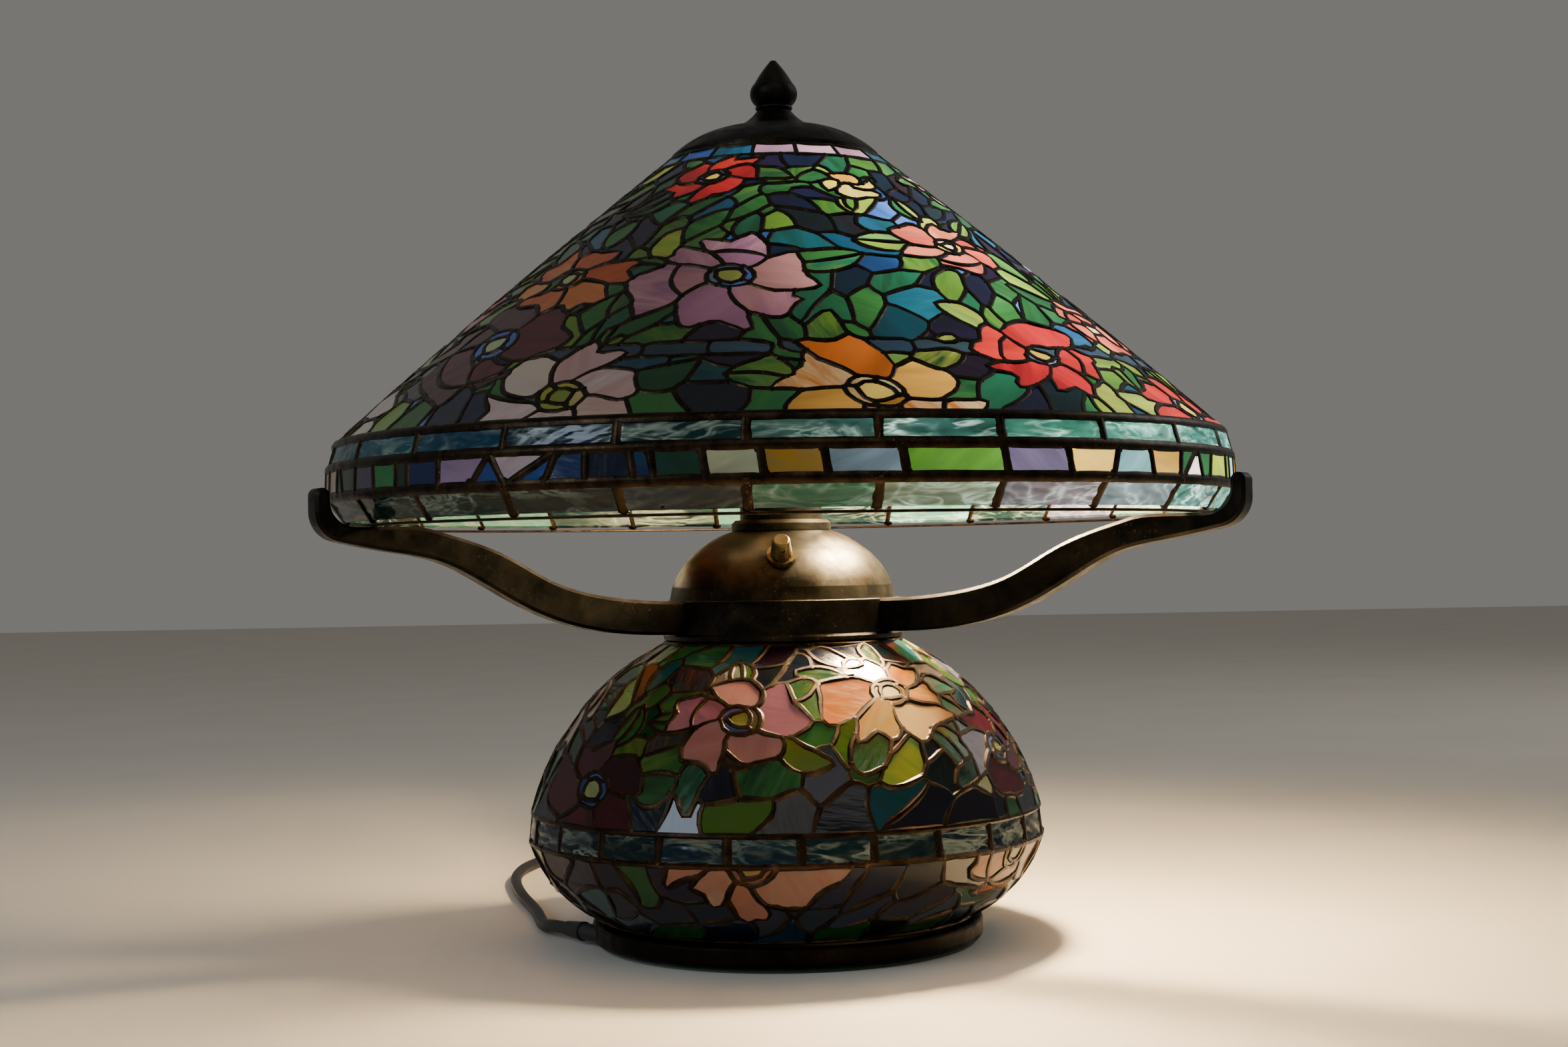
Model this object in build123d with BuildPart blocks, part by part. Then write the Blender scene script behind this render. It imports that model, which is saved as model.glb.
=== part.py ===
"""Table lamp of leaded mosaic glass: a conical shade cradled by a three-armed spider on a squat glass base.

Millimetres, +Z up. The origin is the centre of the face that the lamp stands on, and -Y is the front.
Every piece is one sub-part in its own node. Lengths called s run along a socket's slanted axis.
"""

import os
from math import cos, hypot, pi, radians, sin, tan

from build123d import *

os.makedirs("parts", exist_ok=True)

# ---- driving dimensions ---------------------------------------------------------------------------
GLASS = 3.0  # thickness of the sheet glass
TILE_GAP = 1.2  # lead between neighbouring tiles of a row
CAME = 1.4  # height of the lead between two rows

# shade: outer skin of the cone and of the border, as radius and height
CONE_TOP = (55.6, 396.2)
CONE_FOOT = (223.2, 253.4)
CONE_BULGE = 2.6  # how far the cone's outline bows out from a straight line
TOP_ROW_Z = 389.6
STRIP_Z = (280.6, 287.2)
BORDER = ((224.4, 252.0), (228.0, 239.7), (228.6, 225.6), (219.8, 212.6))
BORDER_TILES = 26
STRIP_TILES = 40
RIM_Z = (211.3, 212.6)
CAP_RIM = (53.0, 397.6)
CAP_TOP_Z = 423.0
FINIAL_TOP_Z = 448.7
STUD_R = 3.0

# spider
SEAT_Z = 211.0  # flat seats on the arms, just under the shade's rim
HUB_R, HUB_WALL, HUB_WEB = 60.0, 6.0, 4.0
HUB_Z = (156.5, 173.0)
ARM_W = 13.0
ARM_FLAT_X = 57.0
ARM_ANGLES = {"left": 210.0, "right": 330.0, "back": 90.0}
ARM_SCREW_Y, ARM_SCREW_Z = 3.3, 166.8

# dome, switch and cluster
SHEET = 1.5  # spun metal of the dome and the cap
DOME_TOP_Z = 207.7
SWITCH_AT, SWITCH_TILT = (0.0, -47.33, 193.85), 44.0
COLLAR_R, NECK_R = 25.3, 20.9
COLLAR_Z, NECK_TOP_Z = (207.7, 213.0), 226.0
CLUSTER_Z, CLUSTER_R, CLUSTER_TOP_Z = 235.0, 19.0, 246.0
CLUSTER_WAIST_Z, CLUSTER_WAIST_R = 232.0, 12.0
SOCKET_TILT = 30.0  # above the horizontal
SOCKET_R = 16.5
SOCKET_S = (17.0, 24.0, 52.0)  # back of the cap, back of the shell, mouth of the shell
BULB_BASE_R, BULB_R = 13.0, 25.0
BULB_S = (31.0, 55.0, 94.0)  # contact, top of the screw base, middle of the globe

# base: outer skin of the glass, as radius and height
BOWL_FOOT = (95.0, 13.9)
BOWL_LOW = (112.6, 25.0)
BELT_Z = (54.6, 67.5)
BELT_R = (130.6, 129.2)
BELT_TILES = 24
BOWL_HIGH = (104.3, 118.0)
BOWL_NECK = (60.8, 152.0)
COLLAR_PLATE_Z = (153.2, 156.5)
FOOT_R, FOOT_TOP_Z, FOOT_WALL, FOOT_ROOF = 99.0, 12.5, 7.0, 1.5
FELT = 1.5
PLATE = 1.2
WEIGHT_Z = (2.7, 10.6)
ROD_R = 4.85
ROD_Z = (3.2, 252.0)

# cord
CORD_D = 6.5
LIE_Z = 3.4  # height of the cord's middle where it lies
EXIT_ANGLE, EXIT_TURN = 190.0, 58.0
BUSHING_OUT, BUSHING_IN, BUSHING_STEP = 22.0, 16.0, 8.0
COIL_AT, COIL_MID_R = (-62.0, 300.0), 39.5
COIL_R, COIL_H = (28.5, 43.0), 20.0


def turned(angle, radius, z=0.0):
    """The point at an angle, in degrees, round the Z axis."""
    return (radius * cos(radians(angle)), radius * sin(radians(angle)), z)


def cone_r(z):
    """Radius of the cone's outer skin at height z."""
    u = (z - CONE_FOOT[1]) / (CONE_TOP[1] - CONE_FOOT[1])
    return CONE_FOOT[0] + (CONE_TOP[0] - CONE_FOOT[0]) * u + 4 * CONE_BULGE * u * (1 - u)


def glass_band(points, thick=GLASS):
    """Section of a glass band, cut level at both ends, whose outer skin runs down through the points.

    Two points give a straight band and three an arc. Level cuts let neighbouring bands meet face to face.
    """
    chord = (points[-1][0] - points[0][0]) / (points[-1][1] - points[0][1])
    if len(points) == 3:
        start = (points[1][0] - points[0][0]) / (points[1][1] - points[0][1])
        end = (points[2][0] - points[1][0]) / (points[2][1] - points[1][1])
        slopes = (2 * start - chord, chord, 2 * end - chord)
    else:
        slopes = (chord, chord)
    inner = [(r - thick * hypot(1, slope), z) for (r, z), slope in zip(points, slopes)]
    with BuildSketch(Plane.XZ) as section:
        with BuildLine():
            if len(points) == 3:
                ThreePointArc(*points)
                ThreePointArc(*inner)
            else:
                Line(*points)
                Line(*inner)
            Line(points[0], inner[0])
            Line(points[-1], inner[-1])
        make_face()
    return section.sketch


def cone_band(z_top, z_low):
    """Section of the cone's glass between two heights."""
    middle = (z_top + z_low) / 2
    return glass_band([(cone_r(z_top), z_top), (cone_r(middle), middle), (cone_r(z_low), z_low)])


def save(part, name):
    """Labels a finished piece and writes its STEP file."""
    part.label = name
    export_step(part, f"parts/{name}.step")


def cut_tiles(count, radius, z, height, first=0.0):
    """Cuts a revolved band into tiles, inside the caller's BuildPart."""
    with Locations((0, 0, z)):
        with PolarLocations(radius, count, start_angle=first):
            Box(30, TILE_GAP, height, mode=Mode.SUBTRACT)


# ---- shade: glass ---------------------------------------------------------------------------------
with BuildPart() as shade_glass_upper:
    revolve(cone_band(TOP_ROW_Z - CAME, STRIP_Z[1] + CAME), axis=Axis.Z)
save(shade_glass_upper.part, "shade_glass_upper")

with BuildPart() as shade_strip_tiles:
    revolve(cone_band(CONE_TOP[1], TOP_ROW_Z), axis=Axis.Z)
    revolve(cone_band(STRIP_Z[1], STRIP_Z[0]), axis=Axis.Z)
    cut_tiles(BORDER_TILES, cone_r(TOP_ROW_Z), TOP_ROW_Z, 24)
    cut_tiles(STRIP_TILES, cone_r(STRIP_Z[0]), STRIP_Z[0], 24)
save(shade_strip_tiles.part, "shade_strip_tiles")

with BuildPart() as shade_glass_lower:
    revolve(cone_band(STRIP_Z[0] - CAME, CONE_FOOT[1]), axis=Axis.Z)
save(shade_glass_lower.part, "shade_glass_lower")

ROWS = ("border_upper_tiles", "border_middle_tiles", "border_lower_tiles")
for row, name in enumerate(ROWS):
    top, low = BORDER[row], BORDER[row + 1]
    low = (low[0], low[1] + (CAME if row < 2 else 0))
    with BuildPart() as border_tiles:
        revolve(glass_band([top, low]), axis=Axis.Z)
        cut_tiles(BORDER_TILES, top[0], top[1], 40, first=180 / BORDER_TILES * (row % 2))
    save(border_tiles.part, name)

# ---- shade: metal ---------------------------------------------------------------------------------
CAME_HEIGHTS = (TOP_ROW_Z - CAME / 2, STRIP_Z[1] + CAME / 2, STRIP_Z[0] - CAME / 2)
with BuildPart() as shade_came_rings:
    for z in CAME_HEIGHTS:
        revolve(cone_band(z + CAME / 2, z - CAME / 2), axis=Axis.Z)
    revolve(glass_band([CONE_FOOT, BORDER[0]]), axis=Axis.Z)
    for r, z in BORDER[1:3]:
        revolve(glass_band([(r, z + CAME), (r, z)]), axis=Axis.Z)
save(shade_came_rings.part, "shade_came_rings")

with BuildPart() as shade_rim_ring:
    with BuildSketch(Plane.XZ):
        with Locations((BORDER[3][0] - GLASS / 2, sum(RIM_Z) / 2)):
            RectangleRounded(GLASS + 1.0, RIM_Z[1] - RIM_Z[0], 0.5)
    revolve(axis=Axis.Z)
save(shade_rim_ring.part, "shade_rim_ring")

TOP_RING = (46.5, 51.4)  # radii
with BuildPart() as shade_top_ring:
    with BuildSketch(Plane.XZ):
        with BuildLine():
            Polyline(
                (TOP_RING[0], 394.4),
                (TOP_RING[1] - 0.9, 394.4),
                (TOP_RING[1] - 0.9, 396.4),
                (CAP_RIM[0], 396.4),
                (CAP_RIM[0], CAP_RIM[1]),
                (TOP_RING[0], CAP_RIM[1]),
                close=True,
            )
        make_face()
    revolve(axis=Axis.Z)
save(shade_top_ring.part, "shade_top_ring")

CAP_WAIST = (25.5, 412.6)
with BuildPart() as vase_cap:
    with BuildSketch(Plane.XZ):
        with BuildLine():
            Line((STUD_R + 0.1, CAP_TOP_Z), (8.5, CAP_TOP_Z))
            ThreePointArc((8.5, CAP_TOP_Z), (14.6, 416.9), CAP_WAIST)
            ThreePointArc(CAP_WAIST, (41.0, 407.4), (CAP_RIM[0], 398.8))
            Line((CAP_RIM[0], 398.8), CAP_RIM)
            Line(CAP_RIM, (CAP_RIM[0] - SHEET, CAP_RIM[1]))
            Line((CAP_RIM[0] - SHEET, CAP_RIM[1]), (CAP_RIM[0] - SHEET, 398.4))
            ThreePointArc((CAP_RIM[0] - SHEET, 398.4), (40.2, 406.0), (25.2, 411.1))
            ThreePointArc((25.2, 411.1), (13.8, 415.5), (7.6, CAP_TOP_Z - SHEET))
            Line((7.6, CAP_TOP_Z - SHEET), (STUD_R + 0.1, CAP_TOP_Z - SHEET))
            Line((STUD_R + 0.1, CAP_TOP_Z - SHEET), (STUD_R + 0.1, CAP_TOP_Z))
        make_face()
    revolve(axis=Axis.Z)
save(vase_cap.part, "vase_cap")

CAP_NUT_Z, CAP_NUT_H = 417.0, 4.5
with BuildPart() as cap_nut:
    with BuildSketch(Plane.XY.offset(CAP_NUT_Z)):
        RegularPolygon(5.6, 6)
        Circle(STUD_R, mode=Mode.SUBTRACT)
    extrude(amount=CAP_NUT_H)
save(cap_nut.part, "cap_nut")

with BuildPart() as cap_stud:
    with BuildSketch(Plane.XY.offset(CAP_NUT_Z - 2)):
        Circle(STUD_R)
    extrude(amount=17)
    chamfer(cap_stud.edges().sort_by(Axis.Z)[-1], 0.6)
save(cap_stud.part, "cap_stud")

FINIAL_Z = CAP_TOP_Z + 0.15
with BuildPart() as finial:
    with BuildSketch(Plane.XZ):
        with BuildLine():
            Line((0, FINIAL_Z), (8.6, FINIAL_Z))
            ThreePointArc((8.6, FINIAL_Z), (9.5, FINIAL_Z + 0.9), (8.4, 425.1))
            ThreePointArc((8.4, 425.1), (12.1, 431.4), (9.8, 436.8))
            ThreePointArc((9.8, 436.8), (5.9, 443.0), (1.9, 448.0))
            ThreePointArc((1.9, 448.0), (1.5, 448.5), (0.9, FINIAL_TOP_Z))
            Line((0.9, FINIAL_TOP_Z), (0, FINIAL_TOP_Z))
            Line((0, FINIAL_TOP_Z), (0, FINIAL_Z))
        make_face()
    revolve(axis=Axis.Z)
    with BuildSketch(Plane.XY.offset(FINIAL_Z)):
        Circle(STUD_R + 0.08)
    extrude(amount=10, mode=Mode.SUBTRACT)
save(finial.part, "finial")

# ---- spider ---------------------------------------------------------------------------------------
with BuildPart() as spider_hub:
    with BuildSketch(Plane.XZ):
        with BuildLine():
            Polyline(
                (ROD_R + 0.1, HUB_Z[0]),
                (HUB_R, HUB_Z[0]),
                (HUB_R, HUB_Z[1]),
                (HUB_R - HUB_WALL, HUB_Z[1]),
                (HUB_R - HUB_WALL, HUB_Z[0] + HUB_WEB),
                (ROD_R + 0.1, HUB_Z[0] + HUB_WEB),
                close=True,
            )
        make_face()
    revolve(axis=Axis.Z)
    with Locations((0, 0, sum(HUB_Z) / 2)):
        with PolarLocations(ARM_FLAT_X + 5, 3, start_angle=90):
            Box(10, ARM_W, 20, mode=Mode.SUBTRACT)
    for side in (-1, 1):
        for angle in ARM_ANGLES.values():
            with Locations(Plane.XY.rotated((0, 0, angle))):
                with Locations(Location((ARM_FLAT_X - 2, side * ARM_SCREW_Y, ARM_SCREW_Z), (0, 90, 0))):
                    Cylinder(1.6, 14, mode=Mode.SUBTRACT)
    fillet(spider_hub.edges().filter_by(GeomType.CIRCLE).group_by(Axis.Z)[-1].sort_by(SortBy.RADIUS)[-3:], 0.8)
save(spider_hub.part, "spider_hub")

ARM_TOP = [(57, 173.0), (95, 175.3), (128, 183.5), (157, 198.6), (187, 208.6), (204, SEAT_Z)]
ARM_UNDER = [(211, 199.6), (187, 194.8), (157, 179.6), (128, 165.6), (95, 158.2), (57, 156.5)]
HOOK_IN, HOOK_OUT, HOOK_TIP_Z = 239.0, 246.0, 225.4
HOOK_IN_BEND, HOOK_OUT_BEND = 12.0, 14.0
tip = (HOOK_IN + HOOK_OUT) / 2
with BuildPart() as arm:
    with BuildSketch(Plane.XZ):
        with BuildLine():
            Spline(*ARM_TOP, tangents=((1, 0), (1, 0)))
            Line(ARM_TOP[-1], (HOOK_IN - HOOK_IN_BEND, SEAT_Z))
            JernArc((HOOK_IN - HOOK_IN_BEND, SEAT_Z), (1, 0), HOOK_IN_BEND, 90)
            Line((HOOK_IN, SEAT_Z + HOOK_IN_BEND), (HOOK_IN, HOOK_TIP_Z))
            ThreePointArc((HOOK_IN, HOOK_TIP_Z), (tip, HOOK_TIP_Z + tip - HOOK_IN), (HOOK_OUT, HOOK_TIP_Z))
            Line((HOOK_OUT, HOOK_TIP_Z), (HOOK_OUT, 218.0))
            bend = JernArc((HOOK_OUT, 218.0), (0, -1), HOOK_OUT_BEND, -78)
            Spline(bend @ 1, *ARM_UNDER, tangents=(bend % 1, (-1, 0)))
            Line((57, 156.5), (57, 173.0))
        make_face()
    extrude(amount=ARM_W / 2, both=True)
    chamfer(arm.edges().filter_by(lambda e: e.center().X > 60 and abs(e.center().Y) > 6), 1.5)
    for side in (-1, 1):
        with Locations(Location((ARM_FLAT_X + 6, side * ARM_SCREW_Y, ARM_SCREW_Z), (0, 90, 0))):
            Cylinder(1.6, 14, mode=Mode.SUBTRACT)

for side, angle in ARM_ANGLES.items():
    with BuildPart() as spider_arm:
        with Locations(Plane.XY.rotated((0, 0, angle))):
            add(arm.part)
    save(spider_arm.part, f"spider_arm_{side}")

with BuildPart() as arm_screws:
    for angle in ARM_ANGLES.values():
        with Locations(Plane.XY.rotated((0, 0, angle))):
            for side in (-1, 1):
                at = (ARM_FLAT_X - 3.7, side * ARM_SCREW_Y, ARM_SCREW_Z)
                with Locations(Location(at, (0, 90, 0))):
                    Cylinder(1.5, 14, align=(Align.CENTER, Align.CENTER, Align.MIN))
                with Locations(Location(at, (0, -90, 0))):
                    Cylinder(2.9, 2.4, align=(Align.CENTER, Align.CENTER, Align.MIN))
save(arm_screws.part, "arm_screws")

# ---- dome and switch ------------------------------------------------------------------------------
switch_plane = Plane(
    origin=SWITCH_AT,
    x_dir=(1, 0, 0),
    z_dir=(0, -cos(radians(SWITCH_TILT)), sin(radians(SWITCH_TILT))),
)
DOME = ((57.5, 173.0), (56.2, 179.5), (50.6, 190.0), (40.8, 199.3), (33.2, 204.2), (24.0, DOME_TOP_Z))
with BuildPart() as dome_cover:
    with BuildSketch(Plane.XZ):
        with BuildLine():
            Line(DOME[0], DOME[1])
            ThreePointArc(DOME[1], DOME[2], DOME[3])
            ThreePointArc(DOME[3], DOME[4], DOME[5])
            Line(DOME[5], (ROD_R + 0.1, DOME_TOP_Z))
            Line((ROD_R + 0.1, DOME_TOP_Z), (ROD_R + 0.1, DOME_TOP_Z - SHEET))
            Line((ROD_R + 0.1, DOME_TOP_Z - SHEET), (23.6, DOME_TOP_Z - SHEET))
            ThreePointArc((23.6, DOME_TOP_Z - SHEET), (32.5, 202.9), (39.9, 198.1))
            ThreePointArc((39.9, 198.1), (49.4, 189.1), (54.8, 179.0))
            Line((54.8, 179.0), (56.0, 173.0))
            Line((56.0, 173.0), DOME[0])
        make_face()
    revolve(axis=Axis.Z)
    with BuildSketch(switch_plane):
        Circle(5.0)
    extrude(amount=6, both=True, mode=Mode.SUBTRACT)
save(dome_cover.part, "dome_cover")

with BuildPart() as switch_body:
    with BuildSketch(switch_plane.offset(-5.2)):
        Circle(10.0)
    extrude(amount=-12.5)
    with BuildSketch(switch_plane.offset(-5.2)):
        Circle(4.9)
    extrude(amount=7.4)
    with BuildSketch(switch_plane.offset(-12)):
        Circle(2.05)
    extrude(amount=16, mode=Mode.SUBTRACT)
save(switch_body.part, "switch_body")

with BuildPart() as switch_ring_nut:
    with BuildSketch(switch_plane.offset(0.1)):
        Circle(7.3)
        Circle(4.9, mode=Mode.SUBTRACT)
        with PolarLocations(7.6, 28):
            Circle(0.45, mode=Mode.SUBTRACT)
    extrude(amount=2.6)
save(switch_ring_nut.part, "switch_ring_nut")

with BuildPart() as switch_shaft:
    with BuildSketch(switch_plane.offset(-11.8)):
        Circle(2.0)
    extrude(amount=20)
save(switch_shaft.part, "switch_shaft")

with BuildPart() as switch_knob:
    with BuildSketch(switch_plane.offset(3.0)):
        Circle(5.4)
    with BuildSketch(switch_plane.offset(12.6)):
        Circle(4.2)
    loft()
    rim = switch_knob.edges().filter_by(GeomType.CIRCLE).sort_by(SortBy.RADIUS)[0]
    fillet(rim, 1.2)
    with BuildSketch(switch_plane.offset(2.8)):
        Circle(2.0)
    extrude(amount=5.4, mode=Mode.SUBTRACT)
    with BuildSketch(switch_plane.offset(4.0)):
        with PolarLocations(5.5, 20):
            Circle(0.42)
    extrude(amount=6, mode=Mode.SUBTRACT)
save(switch_knob.part, "switch_knob")

# ---- cluster on the centre rod --------------------------------------------------------------------
with BuildPart() as cluster_collar:
    with BuildSketch(Plane.XZ):
        with BuildLine():
            Polyline(
                (ROD_R + 0.05, COLLAR_Z[0]),
                (COLLAR_R, COLLAR_Z[0]),
                (COLLAR_R, COLLAR_Z[1] - 1.8),
                (COLLAR_R - 1.8, COLLAR_Z[1]),
                (ROD_R + 0.05, COLLAR_Z[1]),
                close=True,
            )
        make_face()
    revolve(axis=Axis.Z)
save(cluster_collar.part, "cluster_collar")

with BuildPart() as cluster_neck:
    with BuildSketch(Plane.XY.offset(COLLAR_Z[1])):
        Circle(NECK_R)
        Circle(NECK_R - 2, mode=Mode.SUBTRACT)
    extrude(amount=NECK_TOP_Z - COLLAR_Z[1])
save(cluster_neck.part, "cluster_neck")


def socket_plane(side, s=0.0):
    """Plane across a socket's axis, s out from the cluster's middle; side is -1 left or 1 right."""
    axis = Vector(side * cos(radians(SOCKET_TILT)), 0, sin(radians(SOCKET_TILT)))
    return Plane(origin=Vector(0, 0, CLUSTER_Z) + axis * s, x_dir=(0, 1, 0), z_dir=axis)


def turned_piece(side, outline):
    """Revolves an outline of (s, radius) points round a socket's axis."""
    base = socket_plane(side)
    lathe = Plane(origin=base.origin, x_dir=base.z_dir, z_dir=base.x_dir)
    with BuildPart() as piece:
        with BuildSketch(lathe):
            with BuildLine():
                Polyline(*outline, close=True)
            make_face()
        revolve(axis=Axis(lathe.origin, lathe.x_dir))
    return piece.part


with BuildPart() as cluster_body:
    with BuildSketch(Plane.XY.offset(NECK_TOP_Z)):
        Circle(CLUSTER_R)
    extrude(amount=CLUSTER_WAIST_Z - NECK_TOP_Z)
    fillet(cluster_body.edges().group_by(Axis.Z)[-1], 2.0)
    with BuildSketch(Plane.XY.offset(CLUSTER_WAIST_Z)):
        Circle(CLUSTER_WAIST_R)
    extrude(amount=CLUSTER_TOP_Z - CLUSTER_WAIST_Z)
    for side in (-1, 1):
        with BuildSketch(socket_plane(side, 9)):
            Circle(5.5)
        extrude(amount=SOCKET_S[0] - 9)
    with BuildSketch(Plane.XY.offset(NECK_TOP_Z)):
        Circle(ROD_R + 0.05)
    extrude(amount=30, mode=Mode.SUBTRACT)
save(cluster_body.part, "cluster_body")

back, shell_back, mouth = SOCKET_S
contact, base_top, globe = BULB_S
THREAD_R = 13.3  # inside of the screw shells
for side, name in ((-1, "left"), (1, "right")):
    cap = [(back, 0), (back, 8.5), (back + 2.5, 13), (back + 5, SOCKET_R)]
    cap += [(shell_back, SOCKET_R), (shell_back, 0)]
    save(turned_piece(side, cap), f"socket_cap_{name}")
    shell = [(shell_back, SOCKET_R - 0.8), (shell_back, SOCKET_R), (mouth - 2, SOCKET_R)]
    shell += [(mouth - 1, SOCKET_R + 0.8), (mouth, SOCKET_R), (mouth, SOCKET_R - 0.8)]
    save(turned_piece(side, shell), f"socket_shell_{name}")

with BuildPart() as socket_insulators:
    for side in (-1, 1):
        add(turned_piece(side, [(shell_back, 0), (shell_back, 15.6), (29, 15.6), (29, 4), (30.8, 4), (30.8, 0)]))
save(socket_insulators.part, "socket_insulators")

with BuildPart() as socket_screw_shells:
    for side in (-1, 1):
        tube = [(29, THREAD_R), (29, THREAD_R + 0.7), (mouth - 1, THREAD_R + 0.7), (mouth - 1, THREAD_R)]
        add(turned_piece(side, tube))
save(socket_screw_shells.part, "socket_screw_shells")

# ---- bulbs ----------------------------------------------------------------------------------------
BULB_WALL, BULB_NECK_R, BULB_TURN = 0.8, 12.6, 140.0


def bulb_outline(globe_r):
    """Draws the neck and globe of a bulb, as (s, radius), inside the caller's BuildLine; returns its end."""
    neck_r = BULB_NECK_R - (BULB_R - globe_r)
    turn = radians(BULB_TURN)
    start = (globe + globe_r * cos(turn), globe_r * sin(turn))
    Spline((base_top, neck_r), start, tangents=((1, 0.05), (sin(turn), -cos(turn))))
    ThreePointArc(start, (globe, globe_r), (globe + globe_r, 0))
    return (globe + globe_r, 0)


for side, name in ((-1, "left"), (1, "right")):
    base = [(contact, 0), (contact, 4), (contact + 3, 10), (contact + 3, BULB_BASE_R)]
    base += [(base_top, BULB_BASE_R), (base_top, 0)]
    save(turned_piece(side, base), f"bulb_base_{name}")

    plane = socket_plane(side)
    lathe = Plane(origin=plane.origin, x_dir=plane.z_dir, z_dir=plane.x_dir)
    with BuildPart() as bulb_glass:
        with BuildSketch(lathe):
            with BuildLine():
                outer_end = bulb_outline(BULB_R)
                inner_end = bulb_outline(BULB_R - BULB_WALL)
                Line((base_top, BULB_NECK_R), (base_top, BULB_NECK_R - BULB_WALL))
                Line(outer_end, inner_end)
            make_face()
        revolve(axis=Axis(lathe.origin, lathe.x_dir))
    save(bulb_glass.part, f"bulb_glass_{name}")

    stem = [(base_top, 0), (base_top, 6), (base_top + 12, 3), (base_top + 26, 1.6), (base_top + 26, 0)]
    save(turned_piece(side, stem), f"bulb_filament_{name}")

# ---- glass base -----------------------------------------------------------------------------------
with BuildPart() as base_glass_upper:
    revolve(glass_band([BOWL_NECK, BOWL_HIGH, (BELT_R[1], BELT_Z[1] + CAME)]), axis=Axis.Z)
save(base_glass_upper.part, "base_glass_upper")

with BuildPart() as base_belt_tiles:
    revolve(glass_band([(BELT_R[1], BELT_Z[1]), (BELT_R[0], BELT_Z[0])]), axis=Axis.Z)
    cut_tiles(BELT_TILES, BELT_R[0], sum(BELT_Z) / 2, 30)
save(base_belt_tiles.part, "base_belt_tiles")

with BuildPart() as base_glass_lower:
    revolve(glass_band([(BELT_R[0], BELT_Z[0] - CAME), BOWL_LOW, BOWL_FOOT]), axis=Axis.Z)
save(base_glass_lower.part, "base_glass_lower")

with BuildPart() as base_came_rings:
    for r, z in ((BELT_R[1], BELT_Z[1]), (BELT_R[0], BELT_Z[0] - CAME)):
        revolve(glass_band([(r, z + CAME), (r, z)]), axis=Axis.Z)
    with BuildSketch(Plane.XZ):
        with Locations((BOWL_FOOT[0] - 2.6, (FOOT_TOP_Z + BOWL_FOOT[1]) / 2 - 0.05)):
            Rectangle(4.0, BOWL_FOOT[1] - FOOT_TOP_Z - 0.1)
    revolve(axis=Axis.Z)
save(base_came_rings.part, "base_came_rings")

with BuildPart() as neck_collar:
    with BuildSketch(Plane.XZ):
        with BuildLine():
            Polyline(
                (ROD_R + 0.05, COLLAR_PLATE_Z[0]),
                (52.0, COLLAR_PLATE_Z[0]),
                (52.0, 149.6),
                (54.0, 149.6),
                (54.0, COLLAR_PLATE_Z[0]),
                (60.5, COLLAR_PLATE_Z[0]),
                (61.0, 155.2),
                (59.8, COLLAR_PLATE_Z[1]),
                (ROD_R + 0.05, COLLAR_PLATE_Z[1]),
                close=True,
            )
        make_face()
    revolve(axis=Axis.Z)
save(neck_collar.part, "neck_collar")

# ---- light inside the base ------------------------------------------------------------------------
INNER_X = 40.0
with BuildPart() as inner_lampholder:
    with BuildSketch(Plane.XY.offset(FOOT_TOP_Z)):
        with Locations((INNER_X, 0)):
            Circle(16.0)
    extrude(amount=2)
    with BuildSketch(Plane.XY.offset(FOOT_TOP_Z + 2)):
        with Locations((INNER_X, 0)):
            Circle(10.5)
    extrude(amount=36)
    with BuildSketch(Plane.XY.offset(FOOT_TOP_Z + 16)):
        with Locations((INNER_X, 0)):
            Circle(8.0)
    extrude(amount=30, mode=Mode.SUBTRACT)
save(inner_lampholder.part, "inner_lampholder")

with BuildPart() as inner_bulb_base:
    with BuildSketch(Plane.XY.offset(FOOT_TOP_Z + 16)):
        with Locations((INNER_X, 0)):
            Circle(6.9)
    extrude(amount=24)
save(inner_bulb_base.part, "inner_bulb_base")

INNER_BULB_Z = FOOT_TOP_Z + 40
with BuildPart() as inner_bulb_glass:
    with BuildSketch(Plane(origin=(INNER_X, 0, INNER_BULB_Z), x_dir=(1, 0, 0), z_dir=(0, -1, 0))):
        with BuildLine():
            Line((0, 0), (6.8, 0))
            Spline((6.8, 0), (14.0, 18.0), (0, 46.0), tangents=((0.4, 1), (-1, 0.05)))
            Line((0, 46.0), (0, 0))
        make_face()
    revolve(axis=Axis((INNER_X, 0, 0), (0, 0, 1)))
save(inner_bulb_glass.part, "inner_bulb_glass")

# ---- foot -----------------------------------------------------------------------------------------
exit_out = turned(EXIT_ANGLE, FOOT_R)
exit_dir = turned(EXIT_ANGLE - EXIT_TURN, 1.0)
EXIT_Z, BUSHING_R = 7.05, 4.3


def along_exit(distance):
    """A point on the cord's exit axis, at a distance out from the foot's wall."""
    return (exit_out[0] + exit_dir[0] * distance, exit_out[1] + exit_dir[1] * distance, EXIT_Z)


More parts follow.
